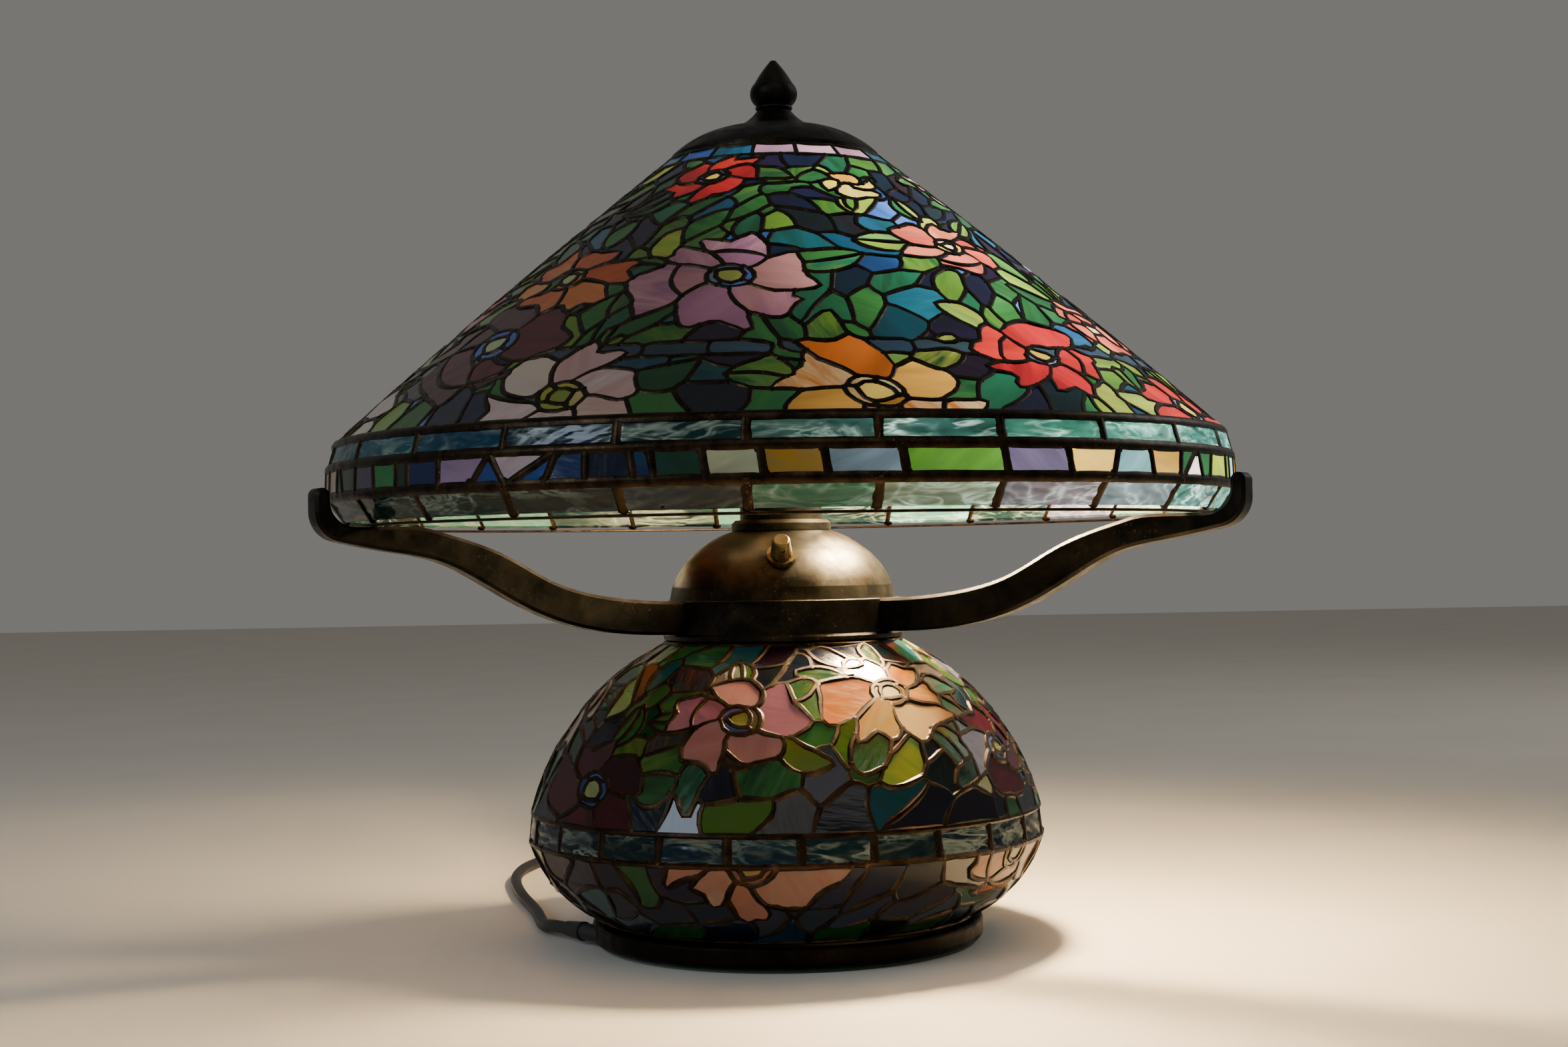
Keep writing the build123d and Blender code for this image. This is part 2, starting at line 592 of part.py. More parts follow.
with BuildPart() as foot_casting:
    with BuildSketch(Plane.XZ):
        with BuildLine():
            Line((FOOT_R - FOOT_WALL, FELT), (96.4, FELT))
            ThreePointArc((96.4, FELT), (98.4, 2.9), (FOOT_R, 5.2))
            Line((FOOT_R, 5.2), (FOOT_R, 10.6))
            ThreePointArc((FOOT_R, 10.6), (98.5, 11.9), (97.2, FOOT_TOP_Z))
            Line((97.2, FOOT_TOP_Z), (ROD_R + 0.05, FOOT_TOP_Z))
            Line((ROD_R + 0.05, FOOT_TOP_Z), (ROD_R + 0.05, FOOT_TOP_Z - FOOT_ROOF))
            Line((ROD_R + 0.05, FOOT_TOP_Z - FOOT_ROOF), (FOOT_R - FOOT_WALL, FOOT_TOP_Z - FOOT_ROOF))
            Line((FOOT_R - FOOT_WALL, FOOT_TOP_Z - FOOT_ROOF), (FOOT_R - FOOT_WALL, FELT))
        make_face()
    revolve(axis=Axis.Z)
    with BuildSketch(Plane(origin=along_exit(-35), z_dir=exit_dir)):
        Circle(BUSHING_R)
    extrude(amount=50, mode=Mode.SUBTRACT)
save(foot_casting.part, "foot_casting")

with BuildPart() as cord_bushing:
    with BuildSketch(Plane(origin=along_exit(-BUSHING_IN), z_dir=exit_dir)):
        Circle(BUSHING_R)
    extrude(amount=BUSHING_IN + BUSHING_STEP)
    with BuildSketch(Plane(origin=along_exit(BUSHING_STEP), z_dir=exit_dir)):
        Circle(4.9)
    with BuildSketch(Plane(origin=along_exit(BUSHING_OUT), z_dir=exit_dir)):
        Circle(3.7)
    loft()
save(cord_bushing.part, "cord_bushing")

SCREW_R = 60.0
with BuildPart() as base_weight:
    with BuildSketch(Plane.XY.offset(WEIGHT_Z[0])):
        Circle(80.0)
        Circle(22.0, mode=Mode.SUBTRACT)
        with PolarLocations(SCREW_R, 3, start_angle=60):
            Circle(2.0, mode=Mode.SUBTRACT)
    extrude(amount=WEIGHT_Z[1] - WEIGHT_Z[0])
    with Locations(Location((-50, -23, EXIT_Z), (0, 0, 17))):
        Box(84, 46, 20, mode=Mode.SUBTRACT)
save(base_weight.part, "base_weight")

with BuildPart() as base_plate:
    with BuildSketch(Plane.XY.offset(FELT)):
        Circle(FOOT_R - FOOT_WALL)
        with PolarLocations(SCREW_R, 3, start_angle=60):
            Circle(2.0, mode=Mode.SUBTRACT)
    extrude(amount=PLATE)
save(base_plate.part, "base_plate")

with BuildPart() as base_plate_screws:
    with BuildSketch(Plane.XY.offset(FELT)):
        with PolarLocations(SCREW_R, 3, start_angle=60):
            Circle(1.95)
    extrude(amount=8)
save(base_plate_screws.part, "base_plate_screws")

with BuildPart() as felt_pad:
    with BuildSketch(Plane.XY):
        Circle(95.4)
    extrude(amount=FELT)
save(felt_pad.part, "felt_pad")

with BuildPart() as centre_rod:
    with BuildSketch(Plane.XY.offset(ROD_Z[0])):
        Circle(ROD_R)
        Circle(3.4, mode=Mode.SUBTRACT)
    extrude(amount=ROD_Z[1] - ROD_Z[0])
save(centre_rod.part, "centre_rod")

NUT_H = 4.4
with BuildPart() as rod_nuts:
    for z in (FOOT_TOP_Z - FOOT_ROOF - NUT_H, CLUSTER_TOP_Z):
        with BuildSketch(Plane.XY.offset(z)):
            RegularPolygon(7.6, 6)
            Circle(ROD_R, mode=Mode.SUBTRACT)
        extrude(amount=NUT_H)
save(rod_nuts.part, "rod_nuts")


# ---- cord -----------------------------------------------------------------------------------------
def tube_along(points, diameter):
    """A tube along straight runs joined by tangent arcs, each arc as large as its two runs allow."""
    radii = []
    for a, b, c in zip(points, points[1:], points[2:]):
        before, after = Vector(b) - Vector(a), Vector(c) - Vector(b)
        turn = radians(before.get_angle(after))
        radii.append(0.45 * min(before.length, after.length) / tan(turn / 2))
    print("arc radii", [round(r, 1) for r in radii])
    with BuildPart() as tube:
        with BuildLine():
            route = FilletPolyline(*points, radius=radii)
        with BuildSketch(Plane(origin=points[0], z_dir=Vector(points[1]) - Vector(points[0]))):
            Circle(diameter / 2)
        sweep()
    length = route.length
    print(f"length {length:.1f}, volume {tube.part.volume:.0f} of {pi * diameter**2 / 4 * length:.0f}")
    return tube.part


LEAD_ROUTE = [
    along_exit(BUSHING_OUT),
    along_exit(BUSHING_OUT + 13),
    (-126.5, 22.0, 4.4),
    (-131.0, 45.0, LIE_Z),
    (-137.5, 80.0, LIE_Z),
    (-154.0, 140.0, LIE_Z),
    (-166.0, 208.0, LIE_Z),
    (-163.0, 264.0, LIE_Z),
    (-142.0, 308.0, LIE_Z),
    (-112.0, 332.0, LIE_Z),
    (-84.0, COIL_AT[1] + COIL_MID_R, LIE_Z),
]
save(tube_along(LEAD_ROUTE, CORD_D), "cord_lead")

INNER_ROUTE = [along_exit(-BUSHING_IN), along_exit(-26), (-62.0, -38.0, EXIT_Z), (-38.0, -25.0, EXIT_Z)]
INNER_ROUTE += [(-22.0, -10.0, EXIT_Z), (-9.5, -3.5, EXIT_Z)]
save(tube_along(INNER_ROUTE, CORD_D - 1.5), "inner_lead")

with BuildPart() as cord_coil:
    with BuildSketch(Plane.XZ):
        with Locations((sum(COIL_R) / 2, COIL_H / 2)):
            RectangleRounded(COIL_R[1] - COIL_R[0], COIL_H, 3.0)
    revolve(axis=Axis.Z)
cord_coil.part.position = (COIL_AT[0], COIL_AT[1], 0)
save(cord_coil.part, "cord_coil")

TAIL_ROUTE = [
    (COIL_AT[0] + COIL_MID_R + 2.4, COIL_AT[1] - 16.0, LIE_Z),
    (-17.6, 268.0, 4.4),
    (-14.0, 255.0, 7.0),
    (-9.5, 245.1, 7.0),
]
save(tube_along(TAIL_ROUTE, CORD_D), "cord_tail")

plug_axis = (Vector(TAIL_ROUTE[-1]) - Vector(TAIL_ROUTE[-2])).normalized()
plug_plane = Plane(origin=TAIL_ROUTE[-1], x_dir=(plug_axis.Y, -plug_axis.X, 0), z_dir=plug_axis)
with BuildPart() as plug_body:
    for distance, width, thick in ((0, 9, 9), (16, 17, 12.5), (34, 25, 13.8)):
        with BuildSketch(plug_plane.offset(distance)):
            RectangleRounded(width, thick, 3.6)
    loft()
save(plug_body.part, "plug_body")

with BuildPart() as plug_pins:
    with BuildSketch(plug_plane.offset(34)):
        with Locations((-6.35, 0), (6.35, 0)):
            Rectangle(1.5, 6.3)
    extrude(amount=17)
save(plug_pins.part, "plug_pins")
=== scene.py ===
"""Looks of the leaded-glass table lamp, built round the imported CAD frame.

The frame is in metres. The glass and its leading are laid out in millimetres and
converted when a mesh is made. An angle on the lamp is measured from the front, to the right.
"""

import math
import random
from collections import Counter

import bpy
import numpy as np
from mathutils import Matrix, Vector
from mathutils.geometry import tessellate_polygon
from mathutils.noise import noise


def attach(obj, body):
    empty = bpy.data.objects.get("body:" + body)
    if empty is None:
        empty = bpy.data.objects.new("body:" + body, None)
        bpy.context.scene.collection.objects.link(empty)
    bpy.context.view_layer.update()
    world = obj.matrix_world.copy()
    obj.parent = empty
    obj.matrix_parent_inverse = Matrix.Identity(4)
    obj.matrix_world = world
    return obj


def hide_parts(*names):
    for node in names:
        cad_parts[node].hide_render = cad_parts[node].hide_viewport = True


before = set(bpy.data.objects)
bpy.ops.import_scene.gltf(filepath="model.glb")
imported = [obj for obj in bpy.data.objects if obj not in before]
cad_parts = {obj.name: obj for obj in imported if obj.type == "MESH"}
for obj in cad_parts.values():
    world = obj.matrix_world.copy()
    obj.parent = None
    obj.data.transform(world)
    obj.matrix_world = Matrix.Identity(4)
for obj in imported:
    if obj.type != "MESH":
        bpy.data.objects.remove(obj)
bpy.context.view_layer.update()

MM = 0.001
TAU = 2 * math.pi
rng = random.Random(11)


def add_object(name, data):
    """A new object of the scene, which shows the data."""
    made = bpy.data.objects.new(name, data)
    bpy.context.scene.collection.objects.link(made)
    return made


# ---- camera
CAMERA_AT = (0.0015, -1.10, 0.192)
camera_data = bpy.data.cameras.new("camera")
camera_data.lens, camera_data.sensor_width = 49.39, 36
camera = add_object("camera", camera_data)
camera.matrix_world = (
    Matrix.Translation(CAMERA_AT)
    @ Matrix.Rotation(math.radians(91), 4, "X")
    @ Matrix.Rotation(math.radians(-1), 4, "Z")
)
bpy.context.scene.camera = camera


# ---- small helpers
def srgb(code):
    """A linear colour from its six-digit code."""
    parts = [int(code[i : i + 2], 16) / 255 for i in (0, 2, 4)]
    return tuple(c / 12.92 if c <= 0.04045 else ((c + 0.055) / 1.055) ** 2.4 for c in parts)


def blend(a, b, share):
    """Colour a with a share of colour b in it."""
    return tuple(p + (q - p) * share for p, q in zip(a, b))


def wrap(angle):
    """An angle or array of angles brought between -pi and pi."""
    return (angle + math.pi) % TAU - math.pi


def on_lamp(u, r, z):
    """The point at angle u from the front, at radius r and height z."""
    return np.stack([r * np.sin(u), -r * np.cos(u), z + 0 * r], axis=-1)


def unit(rows):
    """Each row of an array brought to length one."""
    return rows / (np.linalg.norm(rows, axis=1)[:, None] + 1e-9)


def arc_through(a, b, c, steps=60):
    """Points on the circle through a, b and c, from a to c."""
    a, b, c = (np.array(p, float) for p in (a, b, c))
    m = 2 * np.array([b - a, c - a])
    centre = np.linalg.solve(m, [b @ b - a @ a, c @ c - a @ a])
    start, end = (math.atan2(*(p - centre)[::-1]) for p in (a, c))
    turn = wrap(end - start)
    radius = np.hypot(*(a - centre))
    t = start + turn * np.linspace(0, 1, steps)
    return [(centre[0] + radius * math.cos(x), centre[1] + radius * math.sin(x)) for x in t]


class Profile:
    """The outer line of a turned surface, from low to high. v grows by length over radius."""

    def __init__(self, points):
        self.r, self.z = (np.array(c, float) for c in zip(*points))
        step = np.hypot(np.diff(self.r), np.diff(self.z))
        self.s = np.concatenate([[0], np.cumsum(step)])
        self.v = np.concatenate([[0], np.cumsum(step * 2 / (self.r[1:] + self.r[:-1]))])
        dr, dz = np.gradient(self.r, self.s), np.gradient(self.z, self.s)
        size = np.hypot(dr, dz)
        self.up = (dr / size, dz / size)

    def radius(self, v):
        return np.interp(v, self.v, self.r)

    def v_at(self, z):
        return float(np.interp(z, self.z, self.v))

    def points(self, u, v):
        return on_lamp(u, self.radius(v), np.interp(v, self.v, self.z))

    def normals(self, u, v):
        dr, dz = (np.interp(v, self.v, part) for part in self.up)
        return np.stack([dz * np.sin(u), -dz * np.cos(u), -dr], axis=-1)


# ---- sizes, as in the CAD source
CONE_FOOT, CONE_TOP, CONE_BULGE = (223.2, 253.4), (55.6, 396.2), 2.6
TOP_ROW_Z = 389.6
STRIP_Z, STRIP_TILES = (280.6, 287.2), 40
BORDER = ((224.4, 252.0), (228.0, 239.7), (228.6, 225.6), (219.8, 212.6))
BORDER_TILES, TOP_TILES = 26, 18
BOWL_FOOT, BOWL_LOW, BELT_LOW = (95.0, 13.9), (112.6, 25.0), (130.6, 53.2)
BELT_HIGH, BOWL_HIGH, BOWL_NECK = (129.2, 68.9), (104.3, 118.0), (60.8, 152.0)
BELT_TILES = 24
BULB_AT = np.array([81.4, 0.0, 282.0])
BULB_AXIS = np.array([0.866, 0.0, 0.5])

RECESS = 0.7  # the panes sit this far inside the CAD surface, and the leading stands up to it
PANE = 2.6  # thickness
BORDER_LEAD, CORNER_BLOB = 2.7, 3.7  # half widths of the border's beads, and of its corner drops
LEAD_SPLIT_Z = 312.0  # the cone's leading is two pieces, which meet here
LEAD_WIDTH, LEAD_HEIGHT = 1.95, 1.9  # half sizes of a lead bead's section
SIDES = 8  # of a bead or blob
ROUND = [(i, (i + 1) % SIDES) for i in range(SIDES)]
SHARP = 38  # degrees between two faces from which their edge stays sharp


def cone_profile():
    t = np.linspace(0, 1, 80)
    (r_foot, z_foot), (r_top, z_top) = CONE_FOOT, CONE_TOP
    r = r_foot + (r_top - r_foot) * t + 4 * CONE_BULGE * t * (1 - t)
    return Profile(np.stack([r, z_foot + (z_top - z_foot) * t], axis=1))


def row_profile(high, low):
    """A straight row of tiles between two points of the outer line."""
    return Profile(np.array(low) + (np.array(high) - low) * np.linspace(0, 1, 8)[:, None])


cone = cone_profile()
bowl_upper = Profile(arc_through(BELT_HIGH, BOWL_HIGH, BOWL_NECK))
bowl_lower = Profile(arc_through(BOWL_FOOT, BOWL_LOW, BELT_LOW))


# ---- light through the glass
def shade_glow(points, normals):
    """How strongly the lit bulb, the right-hand one, shows through the shade."""
    away = points - BULB_AT
    far = np.linalg.norm(away, axis=-1)
    ray = away / far[..., None]
    turned = ray @ BULB_AXIS
    t = np.clip((turned + 0.5) / 0.7, 0, 1)
    forward = t * t * (3 - 2 * t) * (0.8 + 0.2 * turned)
    facing = np.clip(np.sum(ray * normals, axis=-1), 0.25, 1)
    strength = forward * facing * (150 / far) ** 1.5
    return 0.05 + 3.8 * (1 - np.exp(-1.3 * strength))


def base_glow(points, normals):
    """A faint glow painted on the base's glass, as from the small bulb inside it; it is twice as strong on
    pieces that face up, as painted light from above.
    """
    return 0.03 + 0.03 * np.clip(normals[..., 2], 0, 1)


# ---- meshes
class Store:
    """Collects the vertices, faces and attributes of one object, in mm."""

    def __init__(self):
        self.verts, self.faces, self.rows, self.count = [], [], [], 0

    def add(self, verts, faces, tint=(0, 0, 0), tint2=(0, 0, 0), glow=0.0, flow=(0, 0, 1), seed=0.0):
        row = np.ones((len(verts), 13))
        row[:, 0:3], row[:, 4:7], row[:, 8], row[:, 9:12], row[:, 12] = tint, tint2, glow, flow, seed
        self.verts.append(np.asarray(verts, float))
        self.rows.append(row)
        self.faces += [tuple(self.count + i for i in f) for f in faces]
        self.count += len(verts)

    def build(self, name, material, body, slot, replaced=(), colours=True):
        mesh = bpy.data.meshes.new(name)
        mesh.from_pydata((np.concatenate(self.verts) * MM).tolist(), [], self.faces)
        if colours:
            rows = np.concatenate(self.rows).astype(np.float32)
            for key, kind, field, start, end in (
                ("tint", "FLOAT_COLOR", "color", 0, 4),
                ("tint2", "FLOAT_COLOR", "color", 4, 8),
                ("glow", "FLOAT", "value", 8, 9),
                ("flow", "FLOAT_VECTOR", "vector", 9, 12),
                ("seed", "FLOAT", "value", 12, 13),
            ):
                layer = mesh.attributes.new(key, kind, "POINT")
                layer.data.foreach_set(field, rows[:, start:end].ravel())
        mesh.shade_smooth()
        mesh.set_sharp_from_angle(angle=math.radians(SHARP))
        mesh.materials.append(material)
        mesh.update()
        piece = add_object(name, mesh)
        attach(piece, body)
        if replaced:
            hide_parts(*replaced)
        return piece


def add_bead(store, line, normals, half_w=LEAD_WIDTH, half_h=LEAD_HEIGHT, closed=False, rough=0.16):
    """A soldered lead bead along a line on the CAD surface, sunk so that its top meets the surface."""
    n = len(line)
    if closed:
        along = np.roll(line, -1, axis=0) - np.roll(line, 1, axis=0)
    else:
        along = np.gradient(line, axis=0)
    along = unit(along)
    across = np.cross(normals, along)
    verts, faces = [], []
    for k, p in enumerate(line):
        wide = half_w * (1 + rough * noise(Vector(p * 0.21)))
        tall = half_h * (1 - rough * abs(noise(Vector(p * 0.17 + 9.0))))
        middle = p - normals[k] * half_h
        for i in range(SIDES):
            t = TAU * (i + 0.5) / SIDES
            verts.append(middle + across[k] * wide * math.cos(t) + normals[k] * tall * math.sin(t))
    for k in range(n if closed else n - 1):
        a, b = k * SIDES, (k + 1) % n * SIDES
        faces += [(b + i, b + j, a + j, a + i) for i, j in ROUND]
    if not closed:
        for end, sign in ((0, -1), (n - 1, 1)):
            verts.append(line[end] - normals[end] * half_h + sign * along[end] * half_w * 0.6)
            tip, first = len(verts) - 1, end * SIDES
            for pair in ROUND:
                i, j = pair[::sign]
                faces.append((first + i, tip, first + j))
    store.add(verts, faces)


def add_blob(store, at, normal, half_w=LEAD_WIDTH * 1.35, half_h=LEAD_HEIGHT):
    """The thicker drop of solder where beads meet."""
    side = np.cross(normal, (0, 0, 1.0))
    side /= np.linalg.norm(side) + 1e-9
    other = np.cross(normal, side)
    middle = at - normal * half_h
    half_w = half_w * (1 + 0.2 * noise(Vector(middle * 0.3)))
    verts = [middle + normal * half_h]
    for level in (0.8, 0.0, -0.8):
        ring = math.sqrt(1 - level * level)
        for i in range(SIDES):
            out = side * math.cos(TAU * i / SIDES) + other * math.sin(TAU * i / SIDES)
            verts.append(middle + normal * half_h * level + half_w * ring * out)
    verts.append(middle - normal * half_h)
    last, low = len(verts) - 1, len(verts) - 1 - SIDES
    faces = [(0, 1 + i, 1 + j) for i, j in ROUND]
    for a in (1, 1 + SIDES):
        b = a + SIDES
        faces += [(a + i, b + i, b + j, a + j) for i, j in ROUND]
    faces += [(last, low + j, low + i) for i, j in ROUND]
    store.add(verts, faces)


def pulled_in(loop, gap):
    """A plane outline moved inwards by gap at every corner. Counter-clockwise loops only."""
    before, after = np.roll(loop, 1, axis=0), np.roll(loop, -1, axis=0)
    both = sum(np.stack([-way[:, 1], way[:, 0]], 1) for way in (unit(loop - before), unit(after - loop)))
    size = np.clip(np.sum(both * both, axis=1) / 2, 0.5, 2)
    return loop + both / size[:, None] * gap


def area_of(loop):
    x, y = loop[:, 0], loop[:, 1]
    return 0.5 * float(np.sum(x * np.roll(y, -1) - np.roll(x, -1) * y))


def add_pane(store, profile, loops, tint, tint2, glow, flat=0.9, gap=0.45, flow_angle=None, sway=0.0):
    """One piece of glass: a flat plate cut to the loops, the first of which is its outside.
    flat is how far it lies in its plane rather than on the surface, and sway is the most that
    it may lie out of true, as a slope."""
    outer = loops[0]
    points, normals = profile.points(*outer.T), profile.normals(*outer.T)
    middle, out = points.mean(axis=0), normals.mean(axis=0)
    out /= np.linalg.norm(out)
    right = np.array([math.cos(outer[:, 0].mean()), math.sin(outer[:, 0].mean()), 0])
    right -= out * (right @ out)
    right /= np.linalg.norm(right)
    up = np.cross(out, right)
    plane_loops, lifts = [], []
    for k, loop in enumerate(loops):
        p = profile.points(*loop.T) - middle
        flat_loop = np.stack([p @ right, p @ up], axis=1)
        if (area_of(flat_loop) > 0) != (k == 0):
            flat_loop, p = flat_loop[::-1], p[::-1]
        plane_loops.append(pulled_in(flat_loop, gap))
        lifts.append((p @ out) * (1 - flat))
    plane, lift = np.concatenate(plane_loops), np.concatenate(lifts)
    sunk = (points - middle) @ out
    tilt = np.array([rng.uniform(-sway, sway), rng.uniform(-sway, sway)])
    lift = lift - RECESS + flat * float(sunk.mean()) + plane @ tilt
    front = middle + plane[:, :1] * right + plane[:, 1:] * up + lift[:, None] * out
    verts = np.concatenate([front, front - out * PANE])
    n, start, faces = len(front), 0, []
    for t in tessellate_polygon([[Vector((*q, 0)) for q in loop] for loop in plane_loops]):
        a, b, c = (plane[i] for i in t)
        turn = (b[0] - a[0]) * (c[1] - a[1]) - (b[1] - a[1]) * (c[0] - a[0])
        t = tuple(t) if turn > 0 else tuple(reversed(t))
        faces += [t, tuple(n + i for i in reversed(t))]
    for m in map(len, plane_loops):
        for a in range(start, start + m):
            b = start + (a + 1 - start) % m
            faces.append((a, n + a, n + b, b))
        start += m
    if flow_angle is None:
        flow_angle = rng.uniform(0, math.pi)
    flow = right * math.cos(flow_angle) + up * math.sin(flow_angle)
    light = glow(verts, np.broadcast_to(out, verts.shape))
    store.add(verts, faces, tint, tint2, light, flow, rng.random())


# ---- the mosaic
OUT = -1
TINY = 30.0  # square mm: a scrap smaller than this joins its neighbour
CHORD = 4.2  # length of an outline's steps, mm
# How strongly a shape claims its place. A flower claims a little more than the one before it.
LEAF_RANK, FLOWER_RANK, FLOWER_STEP, TOP_RANK, STRIP_RANK = 2.5, 12.0, 0.4, 60, 6
# A petal's ragged edge: the ranges of its reach, and of where across the petal it bends.
PETAL_REACH = ((0.55, 0.78), (0.95, 1.16), (0.78, 1.02), (0.93, 1.18), (0.55, 0.78))
PETAL_STOPS = ((-0.7, -0.45), (-0.15, 0.15), (0.45, 0.7))


def look(colours, flow=None, gain=1.0):
    """A piece's two colours, the direction of its streaks, and its share of the glow."""
    return rng.choice(colours), rng.choice(colours), flow, gain


class Mosaic:
    """A turned surface cut into pieces. Every shape says how far inside it a point is, and the
    shape with the lowest figure has the point; the outlines are where the figures are equal.
    Ground shapes share out only what the others leave."""

    def __init__(self, profile, columns):
        self.profile, self.columns = profile, columns
        self.du = TAU / columns
        self.rows = round(profile.v[-1] / (self.du * math.sqrt(3) / 2))
        self.dv = profile.v[-1] / self.rows
        j, i = np.mgrid[0 : self.rows + 2, 0:columns]
        self.u = ((i + 0.5 * (j % 2)) * self.du - math.pi).ravel()
        self.v = ((j - 0.5) * self.dv).ravel()
        self.shapes = []
        self.rank = FLOWER_RANK

    def add(self, shape, look, ground=False):
        self.shapes.append((shape, look, ground))

    def local(self, u_deg, z, turn=0.0):
        """A function from (u, v) to plane (x, y) in mm round a point on the surface, x along turn."""
        u0, v0 = math.radians(u_deg), self.profile.v_at(z)
        r0, c, s = float(self.profile.radius(v0)), math.cos(turn), math.sin(turn)

        def plane(u, v):
            x, y = r0 * wrap(u - u0), r0 * (v - v0)
            return x * c + y * s, y * c - x * s

        return plane

    # shapes
    def add_seed(self, u_deg, z, turn, stretch, look):
        local = self.local(u_deg, z, turn)

        def shape(u, v):
            x, y = local(u, v)
            return np.hypot(x / stretch, y * stretch)

        self.add(shape, look, ground=True)

    def add_band_tile(self, z_low, z_high, u_mid, half_u, rank, look):
        v_low, v_high = self.profile.v_at(z_low), self.profile.v_at(z_high)
        r0 = float(self.profile.radius((v_low + v_high) / 2))

        def shape(u, v):
            level = np.abs(v - (v_low + v_high) / 2) - (v_high - v_low) / 2
            return rank * r0 * np.maximum(level, np.abs(wrap(u - u_mid)) - half_u)

        self.add(shape, look)

    def add_leaf(self, u_deg, z, turn, length, width, looks, offset, bend):
        """A leaf that points along turn, offset along its own line. Two looks cut it along its midrib."""
        local = self.local(u_deg, z, turn)
        radius = (length * length + width * width) / (4 * width)
        shift = radius - width / 2
        for sign, look in zip((1, -1) if len(looks) > 1 else (0,), looks):

            def shape(u, v, sign=sign):
                x, y = local(u, v)
                x = x - offset
                y = y - bend * (x * x / length - length / 12)
                inside = np.maximum(np.hypot(x, y - shift), np.hypot(x, y + shift)) - radius
                return LEAF_RANK * (np.maximum(inside, sign * y) if sign else inside)

            self.add(shape, look)

    def add_flower(self, u_deg, z, size, kind, petals, turn, squeeze=1.1):
        """A peony: a heart, a ring of small pieces round it, and a wheel of petals."""
        petal_colours, ring_colours, heart_colours = FLOWERS[kind]
        local = self.local(u_deg, z)
        self.rank += FLOWER_STEP
        rank, twist, lean = self.rank, rng.choice((-1, 1)) * rng.uniform(0.35, 0.85), rng.uniform(-0.2, 0.2)
        ring_size = size * rng.uniform(0.26, 0.32)
        heart_size = ring_size * rng.uniform(0.5, 0.62)
        phase = rng.uniform(0, TAU)

        def polar(u, v):
            x, y = local(u, v)
            x, y = x / 1.12 + lean * y, y * squeeze
            rho = np.hypot(x, y)
            return rho, np.arctan2(y, x) + twist * rho / size

        def add_sector(low, high, inner, outer, look, ragged=True):
            mid, half = (low + high) / 2, (high - low) / 2
            reach = [rng.uniform(*ends) for ends in PETAL_REACH]
            stops = [-1, *(rng.uniform(*ends) for ends in PETAL_STOPS), 1]

            def shape(u, v):
                rho, phi = polar(u, v)
                off = wrap(phi - mid)
                edge = outer * np.interp(off / half, stops, reach) if ragged else outer
                side = rho * np.clip(np.abs(off) - half, -1, 1)
                return rank * np.maximum.reduce([rho - edge, side, inner - rho])

            self.add(shape, look)

        def heart(u, v):
            rho, phi = polar(u, v)
            return rank * (rho - heart_size * 1.1 * (1 + 0.16 * np.sin(3 * phi + phase)))

        cuts = sorted(turn + TAU * (k + rng.uniform(-0.27, 0.27)) / petals for k in range(petals))
        for low, high in zip(cuts, cuts[1:] + [cuts[0] + TAU]):
            reach = size * rng.uniform(0.84, 1.14)
            petal = look(petal_colours, (low + high) / 2)
            if rng.random() < 0.16 and size > 26:
                middle = size * rng.uniform(0.6, 0.72)
                add_sector(low, high, middle, reach, petal)
                inner = (rng.choice(petal_colours), petal[0], *petal[2:])
                add_sector(low, high, ring_size, middle, inner, ragged=False)
            else:
                add_sector(low, high, ring_size, reach, petal)
        pieces = 4 if size > 30 else 3
        for k in range(pieces):
            low = turn + 0.5 + TAU * k / pieces
            add_sector(low, low + TAU / pieces, heart_size, ring_size, look(ring_colours), ragged=False)
        self.add(heart, look(heart_colours))

    # cutting
    def solve(self):
        self.floor, best = np.full(self.u.size, np.inf), np.zeros(self.u.size)
        label = np.zeros(self.u.size, int)
        for least, wanted in ((self.floor, True), (best, False)):
            for k, (shape, _, ground) in enumerate(self.shapes):
                if ground == wanted:
                    cost = shape(self.u, self.v)
                    near = cost < least
                    least[near], label[near] = cost[near], k
        label[: self.columns] = label[-self.columns :] = OUT
        self.find_pieces(label.tolist())
        self.cross_edges()
        self.make_chains()

    def around(self, n):
        """The cells next to cell n."""
        j, i = divmod(n, self.columns)
        left, right = (i - 1) % self.columns, (i + 1) % self.columns
        near = (i, right) if j % 2 else (left, i)
        cells = [(j, left), (j, right), *((row, k) for row in (j - 1, j + 1) for k in near)]
        return [row * self.columns + k for row, k in cells if 0 <= row < self.rows + 2]

    def find_pieces(self, label):
        """Splits each label into the separate patches it has, and joins tiny ones to a neighbour."""
        cell = self.du * self.dv * self.profile.radius(self.v) ** 2
        piece = [OUT] * len(label)
        self.names, members = [], []
        for start, name in enumerate(label):
            if piece[start] != OUT or name == OUT:
                continue
            number = piece[start] = len(members)
            stack, group = [start], []
            while stack:
                n = stack.pop()
                group.append(n)
                for m in self.around(n):
                    if piece[m] == OUT and label[m] == name:
                        piece[m] = number
                        stack.append(m)
            self.names.append(name)
            members.append(group)
        sizes = [float(cell[group].sum()) for group in members]
        for number in sorted(range(len(sizes)), key=lambda k: sizes[k]):
            if sizes[number] > TINY:
                break
            votes = Counter(piece[m] for n in members[number] for m in self.around(n))
            del votes[OUT], votes[number]
            target = max(sorted(votes), key=votes.get)
            for n in members[number]:
                piece[n] = target
            members[target] += members[number]
            sizes[target] += sizes[number]
            members[number] = []
        self.piece = np.array(piece)

